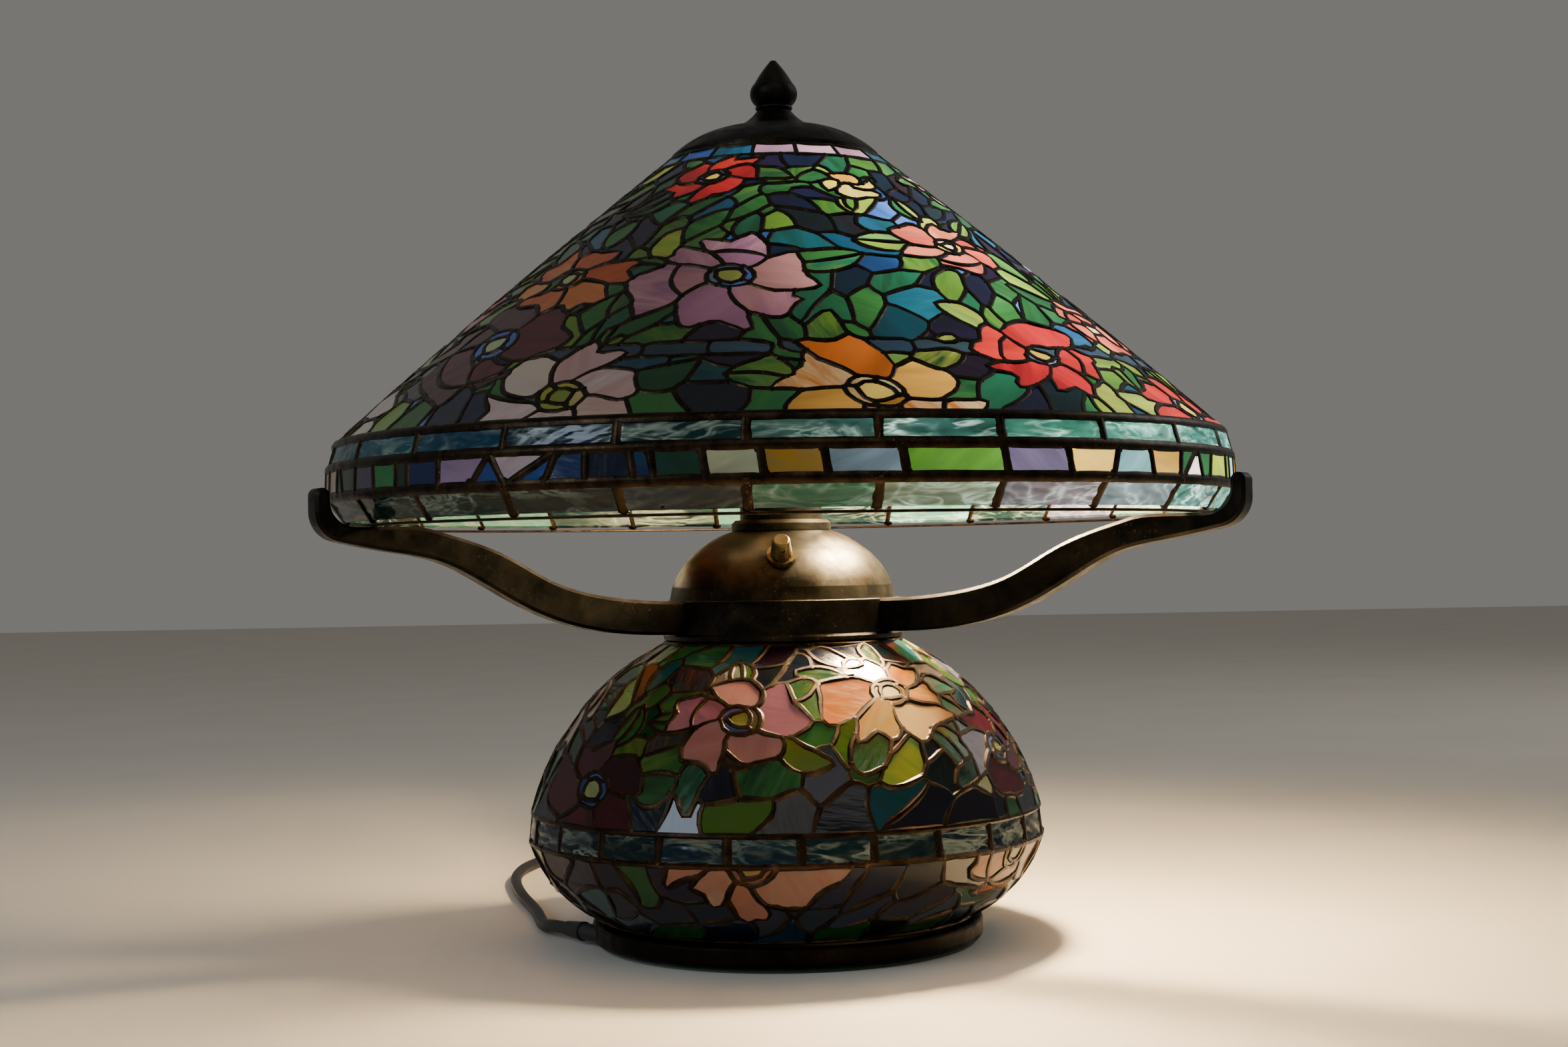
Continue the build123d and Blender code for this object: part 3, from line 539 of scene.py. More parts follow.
    def figures(self, labels, points):
        """Each label's figure at its point, for arrays of both."""
        found = np.zeros(len(labels))
        for k in np.unique(labels):
            here = labels == k
            at, (shape, _, ground) = points[here], self.shapes[k]
            cost = shape(self.u[at], self.v[at])
            found[here] = cost - self.floor[at] if ground else cost
        return found

    def cross_edges(self):
        """The points where outlines cross the lattice's edges, and the steps between them."""
        index = np.arange(self.u.size).reshape(-1, self.columns)
        right, low, above = np.roll(index, -1, axis=1), index[:-1], index[1:]
        odd = (np.arange(len(low)) % 2 == 1)[:, None]
        up_left = np.where(odd, above, np.roll(above, 1, axis=1))
        up_right = np.where(odd, np.roll(above, -1, axis=1), above)
        pairs = ((index, right), (low, up_left), (low, up_right))
        edges = np.concatenate([np.stack([a.ravel(), b.ravel()], 1) for a, b in pairs])
        piece, names = self.piece, np.array(self.names)
        edges = edges[piece[edges[:, 0]] != piece[edges[:, 1]]]
        a, b = edges.T
        inner = (piece[a] != OUT) & (piece[b] != OUT)
        ends = a[inner], b[inner]
        label_a, label_b = (names[piece[end]] for end in ends)
        at_a, at_b = (self.figures(label_a, end) - self.figures(label_b, end) for end in ends)
        good = (at_a < 0) & (at_b > 0)
        t = np.full(len(edges), 0.5)
        t[inner] = np.where(good, np.clip(at_a / np.where(good, at_a - at_b, 1), 0.08, 0.92), 0.5)
        u, v = self.u, self.v
        self.at = np.stack([u[a] + t * wrap(u[b] - u[a]), v[a] + t * (v[b] - v[a])], 1).tolist()
        self.keys = piece[edges].tolist()
        crossing = {tuple(sorted(pair)): k for k, pair in enumerate(edges.tolist())}
        self.links = [[] for _ in self.at]
        base = np.stack([low, right[:-1], up_right], axis=-1).reshape(-1, 3)
        tip = np.stack([up_left, low, up_right], axis=-1).reshape(-1, 3)
        triangles = np.concatenate([base, tip])
        found = piece[triangles]
        mixed = triangles[(found[:, 0] != found[:, 1]) | (found[:, 1] != found[:, 2])]
        for corners in mixed.tolist():
            sides = zip(corners, corners[1:] + corners[:1])
            cuts = [crossing[min(x, y), max(x, y)] for x, y in sides if piece[x] != piece[y]]
            if len(cuts) == 3:
                u0 = self.at[cuts[0]][0]
                mean_u = u0 + sum(wrap(self.at[c][0] - u0) for c in cuts) / 3
                mean_v = sum(self.at[c][1] for c in cuts) / 3
                edge = [self.at[c][1] for c in cuts if OUT in self.keys[c]]
                self.at.append([mean_u, edge[0] if edge else mean_v])
                self.links.append(cuts)
                for c in cuts:
                    self.links[c].append(len(self.at) - 1)
            else:
                for a, b in (cuts, cuts[::-1]):
                    self.links[a].append(b)

    def add_chain(self, start, first):
        """Follows an outline from start to the next place where three pieces meet, or round to start."""
        run = [start, first]
        while run[-1] != start and len(self.links[run[-1]]) == 2:
            a, b = self.links[run[-1]]
            run.append(b if a == run[-2] else a)
        self.chains.append((run, self.keys[first]))
        return run

    def make_chains(self):
        """Runs of outline between the places where three pieces meet, made smooth."""
        self.chains, seen, used = [], set(), set()
        for start, link in enumerate(self.links):
            for first in link if len(link) == 3 else ():
                if (start, first) not in seen:
                    run = self.add_chain(start, first)
                    seen.update({(run[0], run[1]), (run[-1], run[-2])})
                    used.update(run)
        for start, link in enumerate(self.links):
            if len(link) == 2 and start not in used:
                used.update(self.add_chain(start, link[0]))
        at = np.array(self.at)
        for _ in range(5):
            fresh = at.copy()
            for n, link in enumerate(self.links):
                weight = 0.5 if len(link) == 2 else 0.35
                fresh[n, 0] += weight * float(np.mean(wrap(at[link, 0] - at[n, 0])))
                if 1e-6 < at[n, 1] < self.profile.v[-1] - 1e-6:
                    fresh[n, 1] += weight * (float(np.mean(at[link, 1])) - at[n, 1])
            at = fresh
        self.lines = []
        for run, _ in self.chains:
            line = at[run].copy()
            line[:, 0] = line[0, 0] + np.concatenate([[0], np.cumsum(wrap(np.diff(line[:, 0])))])
            scale = self.profile.radius(line[:, 1])
            step = np.hypot(*np.diff(line, axis=0).T) * (scale[1:] + scale[:-1]) / 2
            s = np.concatenate([[0], np.cumsum(step)])
            least = 6 if run[0] == run[-1] else 1
            even = np.linspace(0, s[-1], max(least, round(s[-1] / CHORD)) + 1)
            self.lines.append(np.stack([np.interp(even, s, part) for part in line.T], 1))

    def outlines(self):
        """For each piece that is left, its label and its closed loops of (u, v), largest first."""
        by_piece = {}
        for k, (_, key) in enumerate(self.chains):
            for number in set(key) - {OUT}:
                by_piece.setdefault(number, []).append(k)
        for number, todo in sorted(by_piece.items()):
            loops = []
            while todo:
                k = todo.pop(0)
                run, loop = self.chains[k][0], self.lines[k].tolist()
                end = run[-1]
                while end != run[0]:
                    found = [m for m in todo if end in (self.chains[m][0][0], self.chains[m][0][-1])]
                    todo.remove(found[0])
                    other, part = self.chains[found[0]][0], self.lines[found[0]]
                    if other[0] != end:
                        other, part = other[::-1], part[::-1]
                    end = other[-1]
                    shift = TAU * round((loop[-1][0] - part[0, 0]) / TAU)
                    loop += (part[1:] + [shift, 0]).tolist()
                loops.append(np.array(loop[:-1]))
            yield self.names[number], sorted(loops, key=lambda p: -abs(area_of(p)))

    def build(self, panes, low_beads, high_beads, split_z, glow, flat=0.9, sway=0.018):
        """Adds the panes, and the beads to one of two stores, by which side of split_z they lie."""
        for label, loops in self.outlines():
            tint, tint2, flow, gain = self.shapes[label][1]
            add_pane(
                panes, self.profile, loops, tint, tint2,
                lambda p, n, gain=gain: gain * glow(p, n), flat=flat, flow_angle=flow, sway=sway,
            )
        corners = {}
        for (run, key), line in zip(self.chains, self.lines):
            if OUT in key:
                continue
            points, normals = self.profile.points(*line.T), self.profile.normals(*line.T)
            closed = run[0] == run[-1]
            if closed:
                points, normals = points[:-1], normals[:-1]
            else:
                corners.update({run[k]: (points[k], normals[k]) for k in (0, -1)})
            beads = high_beads if points[:, 2].mean() > split_z else low_beads
            add_bead(beads, points, normals, closed=closed)
        for _, (point, normal) in sorted(corners.items(), key=lambda item: item[0]):
            add_blob(high_beads if point[2] > split_z else low_beads, point, normal)


# ---- colours
def palette(codes):
    return [srgb(code) for code in codes.split()]


# A flower's colours: its petals, the ring round its heart, and the heart.
FLOWERS = {
    "mauve": "c58796 b97a94 d79a9c a96c8c cf8d86, 3f63b4 5a79bf 6c7f3a 4b5fae, 8d9c3a a9ad52",
    "orange": "d9662a e0762a c9501f e58a3c d2452a, b7902f 9aa045 d9662a, a8bf68 c7cf86",
    "maroon": "4d0f1a 611425 3a0b16 6e1c2c 571528, 3c60b6 5577c4 2f4f9e, c3d39a 9fb56a",
    "white": "e6cfc8 dfb5ae efe0cf d9a59c e8d2b4, c4bf4a a9ad3e d8c27a, c9c148 8f9f3a",
    "red": "cf2427 b01a22 de3428 c62622 9c141c, 6a80a4 546b93 8a8f9f, e6b437 f0cc5a",
    "amber": "e3902a efae48 d3761f f1cf95 c9651b, d8a23a b9802c f2d8a0, fbe7a4 f6d060",
    "coral": "dd573f cf4434 e97c5a d96a52 c23a30, efc258 e79a4a f3dca4, f2cd55 fdf0c6",
    "peach": "d8977a cf8d72 dcae9c c98a86, c98a6a a9604a, b58a3c c9a04a",
    "yellow": "ecc93a e2ad2a f3dc74 d99a26, e2ad2a c98a22, f7e8a0 b7c46a",
}
FLOWERS = {kind: [palette(part) for part in codes.split(",")] for kind, codes in FLOWERS.items()}
LEAVES = palette("2c6e2c 1c5a28 56862a 3a7f3a 164a2c 6a922c 1c6a48")
YELLOW_GREENS = palette("a4bf3a 8db03a c2c94a 7fae4e")
DARKS = palette("0f2342 0c1c38 16264f 1c1638 1d1230 0d2a30 10201f 26183f 2a1218")
TEALS = palette("17566a 1a6a78 11444f 245a80 1c4678 155f55")
BLUES = palette("3560b0 4f82c8 66a0cf 284f98 7488c4")
PINKS = palette("b98aa0 8d6a94 c79aa0")
BELT = palette("0d2c34 10323a 12293c 0f2a28 16384a 143036")
STRIP = palette("2b4152 3a4f60 24384a 45596a 2f4a4a")
# The pale colour of the painted threads of light in rippled glass, a painted highlight.
PAINTED_THREAD_COLOUR = srgb("d8efdc")


def noise_at(u, z, spread, tall):
    """Smooth noise over a turned surface, u in radians and z in mm."""
    return noise(Vector((spread * math.sin(u), spread * math.cos(u), z / tall)))


def pick_ground(level, u_deg, z, dark_share_and_shade):
    """A background piece's look. level is 0 at the foot and 1 at the top."""
    # The last argument adds dark pieces: partly dark glass and partly painted shade.
    roll = rng.random() + 0.9 * noise_at(math.radians(u_deg), z, 3.1, 32) - dark_share_and_shade
    if roll < 0.38:
        return look(DARKS, gain=0.5)
    if roll < 0.5:
        family = TEALS
    elif roll < 0.95:
        family = LEAVES
    else:
        family = BLUES if rng.random() < 0.22 + 0.35 * level else YELLOW_GREENS
    return look(family, gain=rng.uniform(0.7, 1.0))


def scatter(mosaic, low, high, spacing, dark_share_and_shade=0.0):
    """Seeds of background pieces in staggered rows. low and high are z limits in mm, and the last
    argument is how much more of the glass is dark: partly the glass's own colours and partly painted shade."""
    profile = mosaic.profile
    s_low, s_high = (float(np.interp(z, profile.z, profile.s)) for z in (low, high))
    rows = round((s_high - s_low) / (spacing * 0.86))
    for k in range(rows):
        s = s_low + (k + 0.5) * (s_high - s_low) / rows
        count = round(TAU * float(np.interp(s, profile.s, profile.r)) / spacing)
        for i in range(count):
            u = 360 * (i + 0.5 * (k % 2) + rng.uniform(-0.3, 0.3)) / count
            here = s + rng.uniform(-0.25, 0.25) * spacing
            z = float(np.interp(here, profile.s, profile.z))
            level = (z - profile.z[0]) / (profile.z[-1] - profile.z[0])
            turn = math.pi * (0.25 + 1.1 * noise_at(math.radians(u), z, 2.2, 45)) + rng.uniform(-0.35, 0.35)
            mosaic.add_seed(u, z, turn, rng.uniform(1.15, 1.7), pick_ground(level, u, z, dark_share_and_shade))


def ring_of_leaves(mosaic, u_deg, z, size, count, turn, greens=LEAVES):
    for k in range(count):
        angle = turn + TAU * (k + rng.uniform(-0.2, 0.2)) / count
        length, width = size * rng.uniform(0.9, 1.3), size * rng.uniform(0.4, 0.56)
        halves = 1 if rng.random() < 0.65 else 2
        looks = [(*look(greens, angle)[:3], rng.uniform(0.7, 1.0)) for _ in range(halves)]
        mosaic.add_leaf(u_deg, z, angle, length, width, looks, size * 1.2, rng.uniform(-1, 1))


# Flowers on the shade: angle, height, size, kind, petals, turn. The first ten are the ones
# seen from the front; the rest carry the pattern on round the back.
SHADE_FLOWERS = (
    (-8, 320, 38, "mauve", 6, 0.3), (-43, 325, 34, "orange", 6, 0.0), (-46, 293, 44, "maroon", 5, 0.5),
    (-26, 264, 38, "white", 6, 0.2), (-22, 377, 23, "red", 5, 0.0), (11, 262.5, 40, "amber", 6, 0.6),
    (40, 338, 30, "coral", 6, 0.4), (37.5, 281, 35, "red", 5, 1.0), (61, 299, 31, "coral", 5, 0.1),
    (61, 259, 37, "red", 6, 0.7), (-68, 257, 37, "white", 5, 0.9), (23.5, 371, 13, "yellow", 4, 0.2),
    (-76, 318, 34, "red", 6, 0.4), (-92, 277, 42, "mauve", 5, 0.8), (-82, 366, 24, "coral", 5, 0.6),
    (84, 330, 33, "white", 6, 0.9), (88, 275, 42, "orange", 5, 0.3), (74, 374, 21, "mauve", 5, 0.5),
    (-116, 312, 36, "orange", 6, 0.2), (-123, 260, 38, "amber", 6, 0.5), (116, 311, 38, "maroon", 6, 0.1),
    (119, 260, 38, "white", 6, 0.3), (128, 362, 25, "red", 5, 0.9), (-135, 360, 26, "mauve", 5, 0.3),
    (-152, 296, 42, "maroon", 5, 0.7), (150, 285, 42, "red", 6, 0.4), (178, 324, 36, "coral", 6, 0.0),
    (178, 264, 38, "mauve", 6, 0.6), (172, 376, 22, "yellow", 5, 0.3),
)
# Flowers on the base's upper and lower bowls, in the same order of figures.
BASE_FLOWERS = (
    (-11.5, 119.5, 30, "mauve", 5, 0.5), (33, 130, 31, "amber", 6, 0.2), (-48, 86, 34, "maroon", 5, 0.3),
    (63, 101, 30, "maroon", 5, 0.8), (-84, 124, 29, "white", 5, 0.1), (96, 90, 34, "orange", 6, 0.0),
    (120, 132, 27, "mauve", 5, 0.4), (-118, 86, 34, "red", 5, 0.6), (150, 88, 33, "white", 5, 0.2),
    (-152, 124, 30, "amber", 6, 0.9), (-176, 84, 30, "maroon", 5, 0.5),
)
BASE_LOW_FLOWERS = (
    (-7, 58, 33, "peach", 6, 0.5), (-95, 50, 28, "mauve", 5, 0.2), (58, 51, 30, "orange", 5, 0.7),
    (150, 50, 28, "red", 5, 0.1),
)


def make_shade_mosaic():
    mosaic = Mosaic(cone, 480)
    for low, high, spacing in ((254, 300, 26), (300, 345, 22), (345, TOP_ROW_Z, 16)):
        scatter(mosaic, low, high, spacing)
    for k in range(TOP_TILES):
        tile = look(rng.choice((BLUES, PINKS, TEALS, DARKS)), gain=0.8)
        mosaic.add_band_tile(TOP_ROW_Z, 398, TAU * k / TOP_TILES, math.pi / TOP_TILES, TOP_RANK, tile)
    for k in range(STRIP_TILES):
        u_mid, half_u = TAU * (k + 0.5) / STRIP_TILES, math.pi / STRIP_TILES
        mosaic.add_band_tile(*STRIP_Z, u_mid, half_u, STRIP_RANK, look(STRIP, 0.0, 0.75))
    for u_deg, z, size, _, _, turn in SHADE_FLOWERS:
        greens = LEAVES + YELLOW_GREENS if 8 < u_deg < 100 else LEAVES
        ring_of_leaves(mosaic, u_deg, z, size, 5 if size > 28 else 3, turn, greens)
    for u_deg, z, size, kind, petals, turn in SHADE_FLOWERS:
        squeeze = 1.3 if kind in ("coral", "red") and size > 28 else 1.08
        mosaic.add_flower(u_deg, z, size, kind, petals, turn, squeeze)
    mosaic.solve()
    return mosaic


def make_base_mosaics():
    upper, lower = Mosaic(bowl_upper, 330), Mosaic(bowl_lower, 330)
    # The base gets more dark pieces lower down: partly dark glass and partly painted shade on its shadowed
    # lower half.
    scatter(upper, 69, 120, 25, 0.22)
    scatter(upper, 120, 152, 18, 0.05)
    for u_deg, z, size, _, _, turn in BASE_FLOWERS:
        ring_of_leaves(upper, u_deg, z, size * 0.92, 5, turn)
    for flower in BASE_FLOWERS:
        upper.add_flower(*flower)
    scatter(lower, 14, 53, 23, 0.4)
    for flower in BASE_LOW_FLOWERS:
        lower.add_flower(*flower)
    upper.solve()
    lower.solve()
    return upper, lower


# ---- rows of tiles
RIPPLE_STEP = 1.15  # mm between the mesh's lines on a rippled tile
# Its noises, as scales along and up the tile and a shift: wave, small wave, thread and its strength.
RIPPLES = ((0.07, 0.34, 0), (0.2, 0.6, 0), (0.11, 0.26, 7), (0.05, 0.12, 3))


def add_ripple_tile(store, profile, u_low, u_high, tint, tint2, glow, gain, swell=0.42, caustic=1.0):
    """A curved tile of rippled glass between two angles, its waves raised in the mesh. Its last argument is
    how bright the threads of light are that its waves gather; these are painted light, a paler colour and a
    stronger glow."""
    across = round((u_high - u_low) * profile.r.mean() / RIPPLE_STEP)
    tall = round(profile.s[-1] / RIPPLE_STEP)
    edge, v_edge = 1.0 / profile.r.mean(), 0.9 / profile.r.mean()
    u = np.linspace(u_low + edge, u_high - edge, across + 1)[:, None] + np.zeros(tall + 1)
    v = np.linspace(v_edge, profile.v[-1] - v_edge, tall + 1)[None, :] + np.zeros((across + 1, 1))
    points, normals = profile.points(u, v), profile.normals(u, v)
    lean, place = rng.uniform(-0.35, 0.35), rng.uniform(0, 40)
    lift, thread = np.zeros(u.shape), np.zeros(u.shape)
    for at in np.ndindex(u.shape):
        x = u[at] * profile.r[0]
        y = v[at] * profile.r[0] + lean * x
        wave, chop, bend, drift = (noise(Vector((x * fx, y * fy, place + to))) for fx, fy, to in RIPPLES)
        lift[at] = swell * (wave + 0.5 * chop)
        thread[at] = (1 - abs(bend)) ** 9 * max(0.0, 0.35 + 1.6 * drift)
    thread = np.clip(thread, 0, 1)
    # Painted light: the crests and the threads of light glow more, and the threads also pale the tile's
    # colour.
    light = gain * glow(points, normals) * (0.62 + 0.5 * lift / swell + 1.3 * caustic * thread)
    tint = np.tile(tint + (np.array(PAINTED_THREAD_COLOUR) - tint) * (0.45 * caustic * thread).reshape(-1, 1), (2, 1))
    lift[0] = lift[-1] = lift[:, 0] = lift[:, -1] = 0
    front = points + normals * (lift - RECESS - 0.3)[..., None]
    back = points - normals * (RECESS + PANE)
    verts = np.concatenate([front.reshape(-1, 3), back.reshape(-1, 3)])
    wide, n = tall + 1, (across + 1) * (tall + 1)
    faces = []
    for a in (i * wide + j for i in range(across) for j in range(tall)):
        faces.append((a, a + wide, a + wide + 1, a + 1))
        faces.append((n + a, n + a + 1, n + a + wide + 1, n + a + wide))
    for low in range(0, across * wide, wide):
        high = low + tall
        faces.append((low, n + low, n + low + wide, low + wide))
        faces.append((high, high + wide, n + high + wide, n + high))
    for left in range(tall):
        right = across * wide + left
        faces.append((left, left + 1, n + left + 1, n + left))
        faces.append((right, n + right, n + right + 1, right + 1))
    middle = float(u.mean())
    flow = (math.cos(middle), math.sin(middle), 0.0)
    store.add(verts, faces, tint, tint2, np.tile(light.ravel(), 2), flow, rng.random())


def add_rung(beads, profile, u_low, u_high):
    """The bead between two tiles, from (u_low, bottom) to (u_high, top) of a row."""
    t = np.linspace(0, 1, 7)
    u, v = u_low + (u_high - u_low) * t, np.linspace(0, profile.v[-1], 7)
    add_bead(beads, profile.points(u, v), profile.normals(u, v), BORDER_LEAD)


def add_hoop(beads, r, z, lean, half_w=1.7, half_h=LEAD_HEIGHT):
    """A ring of leading. lean is how far its outward direction tips up, in degrees."""
    u = np.linspace(0, TAU, 220, endpoint=False)
    c, s = math.cos(math.radians(lean)), math.sin(math.radians(lean))
    normals = np.stack([c * np.sin(u), -c * np.cos(u), s + 0 * u], axis=-1)
    add_bead(beads, on_lamp(u, r + 0 * u, z), normals, half_w, half_h, closed=True, rough=0.1)


# The middle border row, seen from the left. Each tile moves the outline on, as a share of a
# whole tile, at its bottom and at its top: unequal moves make triangles and slanted sides.
MIDDLE_ROW = (
    (1.0, 1.0, "c9a08e"), (0.9, 0.9, "d7b09a"), (0.5, 0.2, "2c3320"), (0.8, 1.1, "22402c"),
    (1.0, 0.9, "4d3a66"), (0.9, 1.0, "2f8a4e"), (0.4, 0.4, "1f3b2e"), (1.0, 1.0, "1b2c64"),
    (0.9, 1.4, "b79ac4"), (0.9, 0.0, "2f55a4"), (0.0, 1.6, "e3cfd8"), (0.9, 0.0, "2a5ab0"),
    (0.9, 0.6, "1f3f78"), (1.0, 0.9, "111d3c"), (0.4, 0.4, "1a2c66"), (1.0, 1.0, "1f4a2a"),
    (1.1, 1.1, "d3dcb4"), (1.2, 1.2, "b58a1e"), (1.5, 1.5, "7f96a2"), (2.1, 2.1, "5f9a30"),
    (1.5, 1.5, "6f6480"), (1.1, 1.4, "f6c85a"), (1.3, 1.0, "6c9498"), (1.0, 1.2, "e6a81f"),
    (0.1, 0.7, "1d4a24"), (1.0, 0.1, "fff2dc"), (0.4, 0.8, "235a2c"), (1.3, 1.1, "b4c42c"),
    (0.4, 0.4, "6c8a2e"), (0.7, 0.7, "9fd4f0"), (0.9, 0.9, "f0a030"), (1.0, 1.0, "e0432e"),
    (0.9, 0.9, "c8301f"),
)
MIDDLE_START, MIDDLE_LENGTH = -76, 64  # where that row starts, in degrees, and its length in whole tiles
# The outer rows' first edge, in degrees, and their colours from left to right as seen from the front. They go
# from dark on the left to pale on the right: partly the tiles' own colours and partly painted light from the
# lit bulb on the right.
ROW_START = -3.4
UPPER_ROW = palette("1b5a66 1f6a80 17506c 123644 1c3f44 3f8a72 5aa884 5fc0a0 54b89c 46a890")
LOWER_ROW = palette("1f3c38 1a342c 16301f 16282a 1a2e2c 12855c 9fc0a0 8d8a9a 7f9aa6 6fb8a8")


def rounded(loop, size):
    """A closed outline with its sharp corners cut back by size and made round."""
    before, after = np.roll(loop, 1, axis=0) - loop, np.roll(loop, -1, axis=0) - loop
    out = []
    for p, a, b in zip(loop, before, after):
        la, lb = np.hypot(*a), np.hypot(*b)
        if a @ b < -0.9 * la * lb:
            out.append(p)
            continue
        start, end = p + a * min(size / la, 0.45), p + b * min(size / lb, 0.45)
        for t in (0.0, 0.35, 0.65, 1.0):
            out.append(start * (1 - t) ** 2 + 2 * p * t * (1 - t) + end * t * t)
    return np.array(out)


def make_border():
    upper, middle, lower, beads = (Store() for _ in range(4))
    rows = [row_profile(BORDER[k], BORDER[k + 1]) for k in range(3)]
    step = TAU / BORDER_TILES
    for k in range(BORDER_TILES):
        u_low = math.radians(ROW_START) + k * step
        u_mid = wrap(u_low + step / 2)
        # Across the front a tile takes its row's colour by its angle, so the right-hand side is paler:
        # painted light.
        shown = int(np.clip((math.degrees(u_mid) + 70) / 14, 0, 9))
        pick = UPPER_ROW[shown]
        second = blend(pick, rng.choice(TEALS), 0.5)
        add_ripple_tile(upper, rows[0], u_low, u_low + step, pick, second, shade_glow, 0.8)
        pick = LOWER_ROW[shown] if abs(u_mid) < 1.3 else rng.choice(LOWER_ROW)
        second = blend(pick, rng.choice(TEALS), 0.3)
        add_ripple_tile(lower, rows[2], u_low, u_low + step, pick, second, shade_glow, 0.75)
        add_rung(beads, rows[0], u_low, u_low)
        add_rung(beads, rows[2], u_low, u_low)
    pattern = [(low, high, srgb(code)) for low, high, code in MIDDLE_ROW]
    while sum(low for low, _, _ in pattern) < MIDDLE_LENGTH:
        family = rng.choice((LEAVES, DARKS, BLUES, TEALS, PINKS, FLOWERS["amber"][0]))
        size, slant = rng.uniform(0.7, 1.5), rng.uniform(-0.2, 0.2)
        done = sum(low - high for low, high, _ in pattern)
        pattern.append((size - done + slant, size + slant * 0.5, rng.choice(family)))
    drift = sum(high - low for low, high, _ in pattern)
    pattern.append((1.0 + drift, 1.0, rng.choice(LEAVES)))
    width = TAU / sum(low for low, _, _ in pattern)
    bottom = top = math.radians(MIDDLE_START)
    row, t = rows[1], np.linspace(0, 1, 5)
    for low_move, high_move, tint in pattern:
        next_bottom, next_top = bottom + low_move * width, top + high_move * width
        low = np.stack([bottom + (next_bottom - bottom) * t, 0 * t], 1)
        high = np.stack([next_top + (top - next_top) * t, row.v[-1] + 0 * t], 1)
        loop = np.concatenate([low if low_move > 0 else low[:1], high if high_move > 0 else high[:1]])
        second = blend(tint, rng.choice(LEAVES + TEALS + DARKS), 0.3)
        outline = rounded(loop, 2.2 / row.r[0])
        add_pane(middle, row, [outline], tint, second, shade_glow, flat=0.0, gap=1.3)
        add_rung(beads, row, next_bottom, next_top)
        inset = 1.5 / row.r[0]
        for end in ((next_bottom, inset), (next_top, row.v[-1] - inset)):
            u, v = np.array(end)[:, None]
            normal = row.normals(u, v)[0]
            add_blob(beads, row.points(u, v)[0] - 0.25 * normal, normal, half_w=CORNER_BLOB)
        bottom, top = next_bottom, next_top
    add_hoop(beads, 224.1, 252.8, 35, half_w=2.6)
    add_hoop(beads, BORDER[1][0], BORDER[1][1] + 0.3, 8, half_w=BORDER_LEAD)
    add_hoop(beads, BORDER[2][0] - 0.15, BORDER[2][1], -8, half_w=BORDER_LEAD)
    for store, part in ((upper, "upper"), (middle, "middle"), (lower, "lower")):
        finish = GLASS if store is middle else RIPPLED
        store.build(f"border_{part}_glass", finish, "shade", "border_glass", [f"border_{part}_tiles"])
    beads.build("border_leading", LEAD, "shade", "lead", colours=False)


def make_belt(beads):
    """The band of rippled tiles round the base's widest part."""
    store = Store()
    profile = row_profile((129.2, 67.5), (130.6, 54.6))
    step = TAU / BELT_TILES
    for k in range(BELT_TILES):
        u_low = (k + 0.2) * step
        tint, second = rng.choice(BELT), rng.choice(BELT)
        add_ripple_tile(store, profile, u_low, u_low + step, tint, second, base_glow, 0.8, 0.5, 0.45)
        add_rung(beads, profile, u_low, u_low)
    add_hoop(beads, 130.6, 53.9, -4)
    add_hoop(beads, 129.3, 68.3, 12)
    add_hoop(beads, 95.4, 13.6, -50, half_w=1.2, half_h=1.2)
    add_hoop(beads, 60.9, 152.2, 50, half_w=1.2, half_h=1.2)
    store.build("base_belt_glass", RIPPLED, "lamp", "base_glass", ["base_belt_tiles"])


# ---- materials
class Mat:
    """A node material with one Principled shader, and short ways to add nodes to it."""

    def __init__(self, name):
        self.material = bpy.data.materials.new(name)
        self.material.use_nodes = True
        self.tree = self.material.node_tree
        self.shader = self.tree.nodes["Principled BSDF"]

    def node(self, kind, output, inputs=(), **settings):
        """Adds a node and gives back one of its outputs."""
        made = self.tree.nodes.new("ShaderNode" + kind)
        for key, value in settings.items():
            setattr(made, key, value)
        for key, value in dict(inputs).items():
            self.feed(made.inputs[key], value)
        return made.outputs[output]

    def feed(self, socket, value):
        if isinstance(value, bpy.types.NodeSocket):
            self.tree.links.new(value, socket)
        else:
            socket.default_value = (*value, 1.0) if socket.type == "RGBA" else value

    def set(self, **values):
        for key, value in values.items():
            self.feed(self.shader.inputs[key.replace("_", " ")], value)

    def place(self):
        return self.node("TexCoord", "Object")

    def attribute(self, name, output):
        return self.node("Attribute", output, attribute_name=name)

    def noise(self, vector, scale, detail=3.0, rough=0.55, distortion=0.0):
        inputs = {"Vector": vector, "Scale": scale, "Detail": detail}
        return self.node("TexNoise", "Fac", {**inputs, "Roughness": rough, "Distortion": distortion})

    def span(self, value, low, high, to_low=0.0, to_high=1.0):
        inputs = {"Value": value, "From Min": low, "From Max": high, "To Min": to_low, "To Max": to_high}
        return self.node("MapRange", "Result", inputs)

    def math(self, operation, a, b=0.0):
        return self.node("Math", 0, {0: a, 1: b}, operation=operation)

    def times(self, a, b):
        return self.math("MULTIPLY", a, b)

    def mix(self, factor, a, b, blend="MIX"):
        return self.node("Mix", 2, {0: factor, 6: a, 7: b}, data_type="RGBA", blend_type=blend)

    def vector(self, operation, a, b, output="Vector"):
        return self.node("VectorMath", output, {0: a, 1: b}, operation=operation)

    def scaled(self, vector, scale):
        return self.node("VectorMath", "Vector", {0: vector, "Scale": scale}, operation="SCALE")

    def bump(self, height, strength, distance):
        inputs = {"Height": height, "Strength": strength, "Distance": distance}
        self.set(Normal=self.node("Bump", "Normal", inputs))


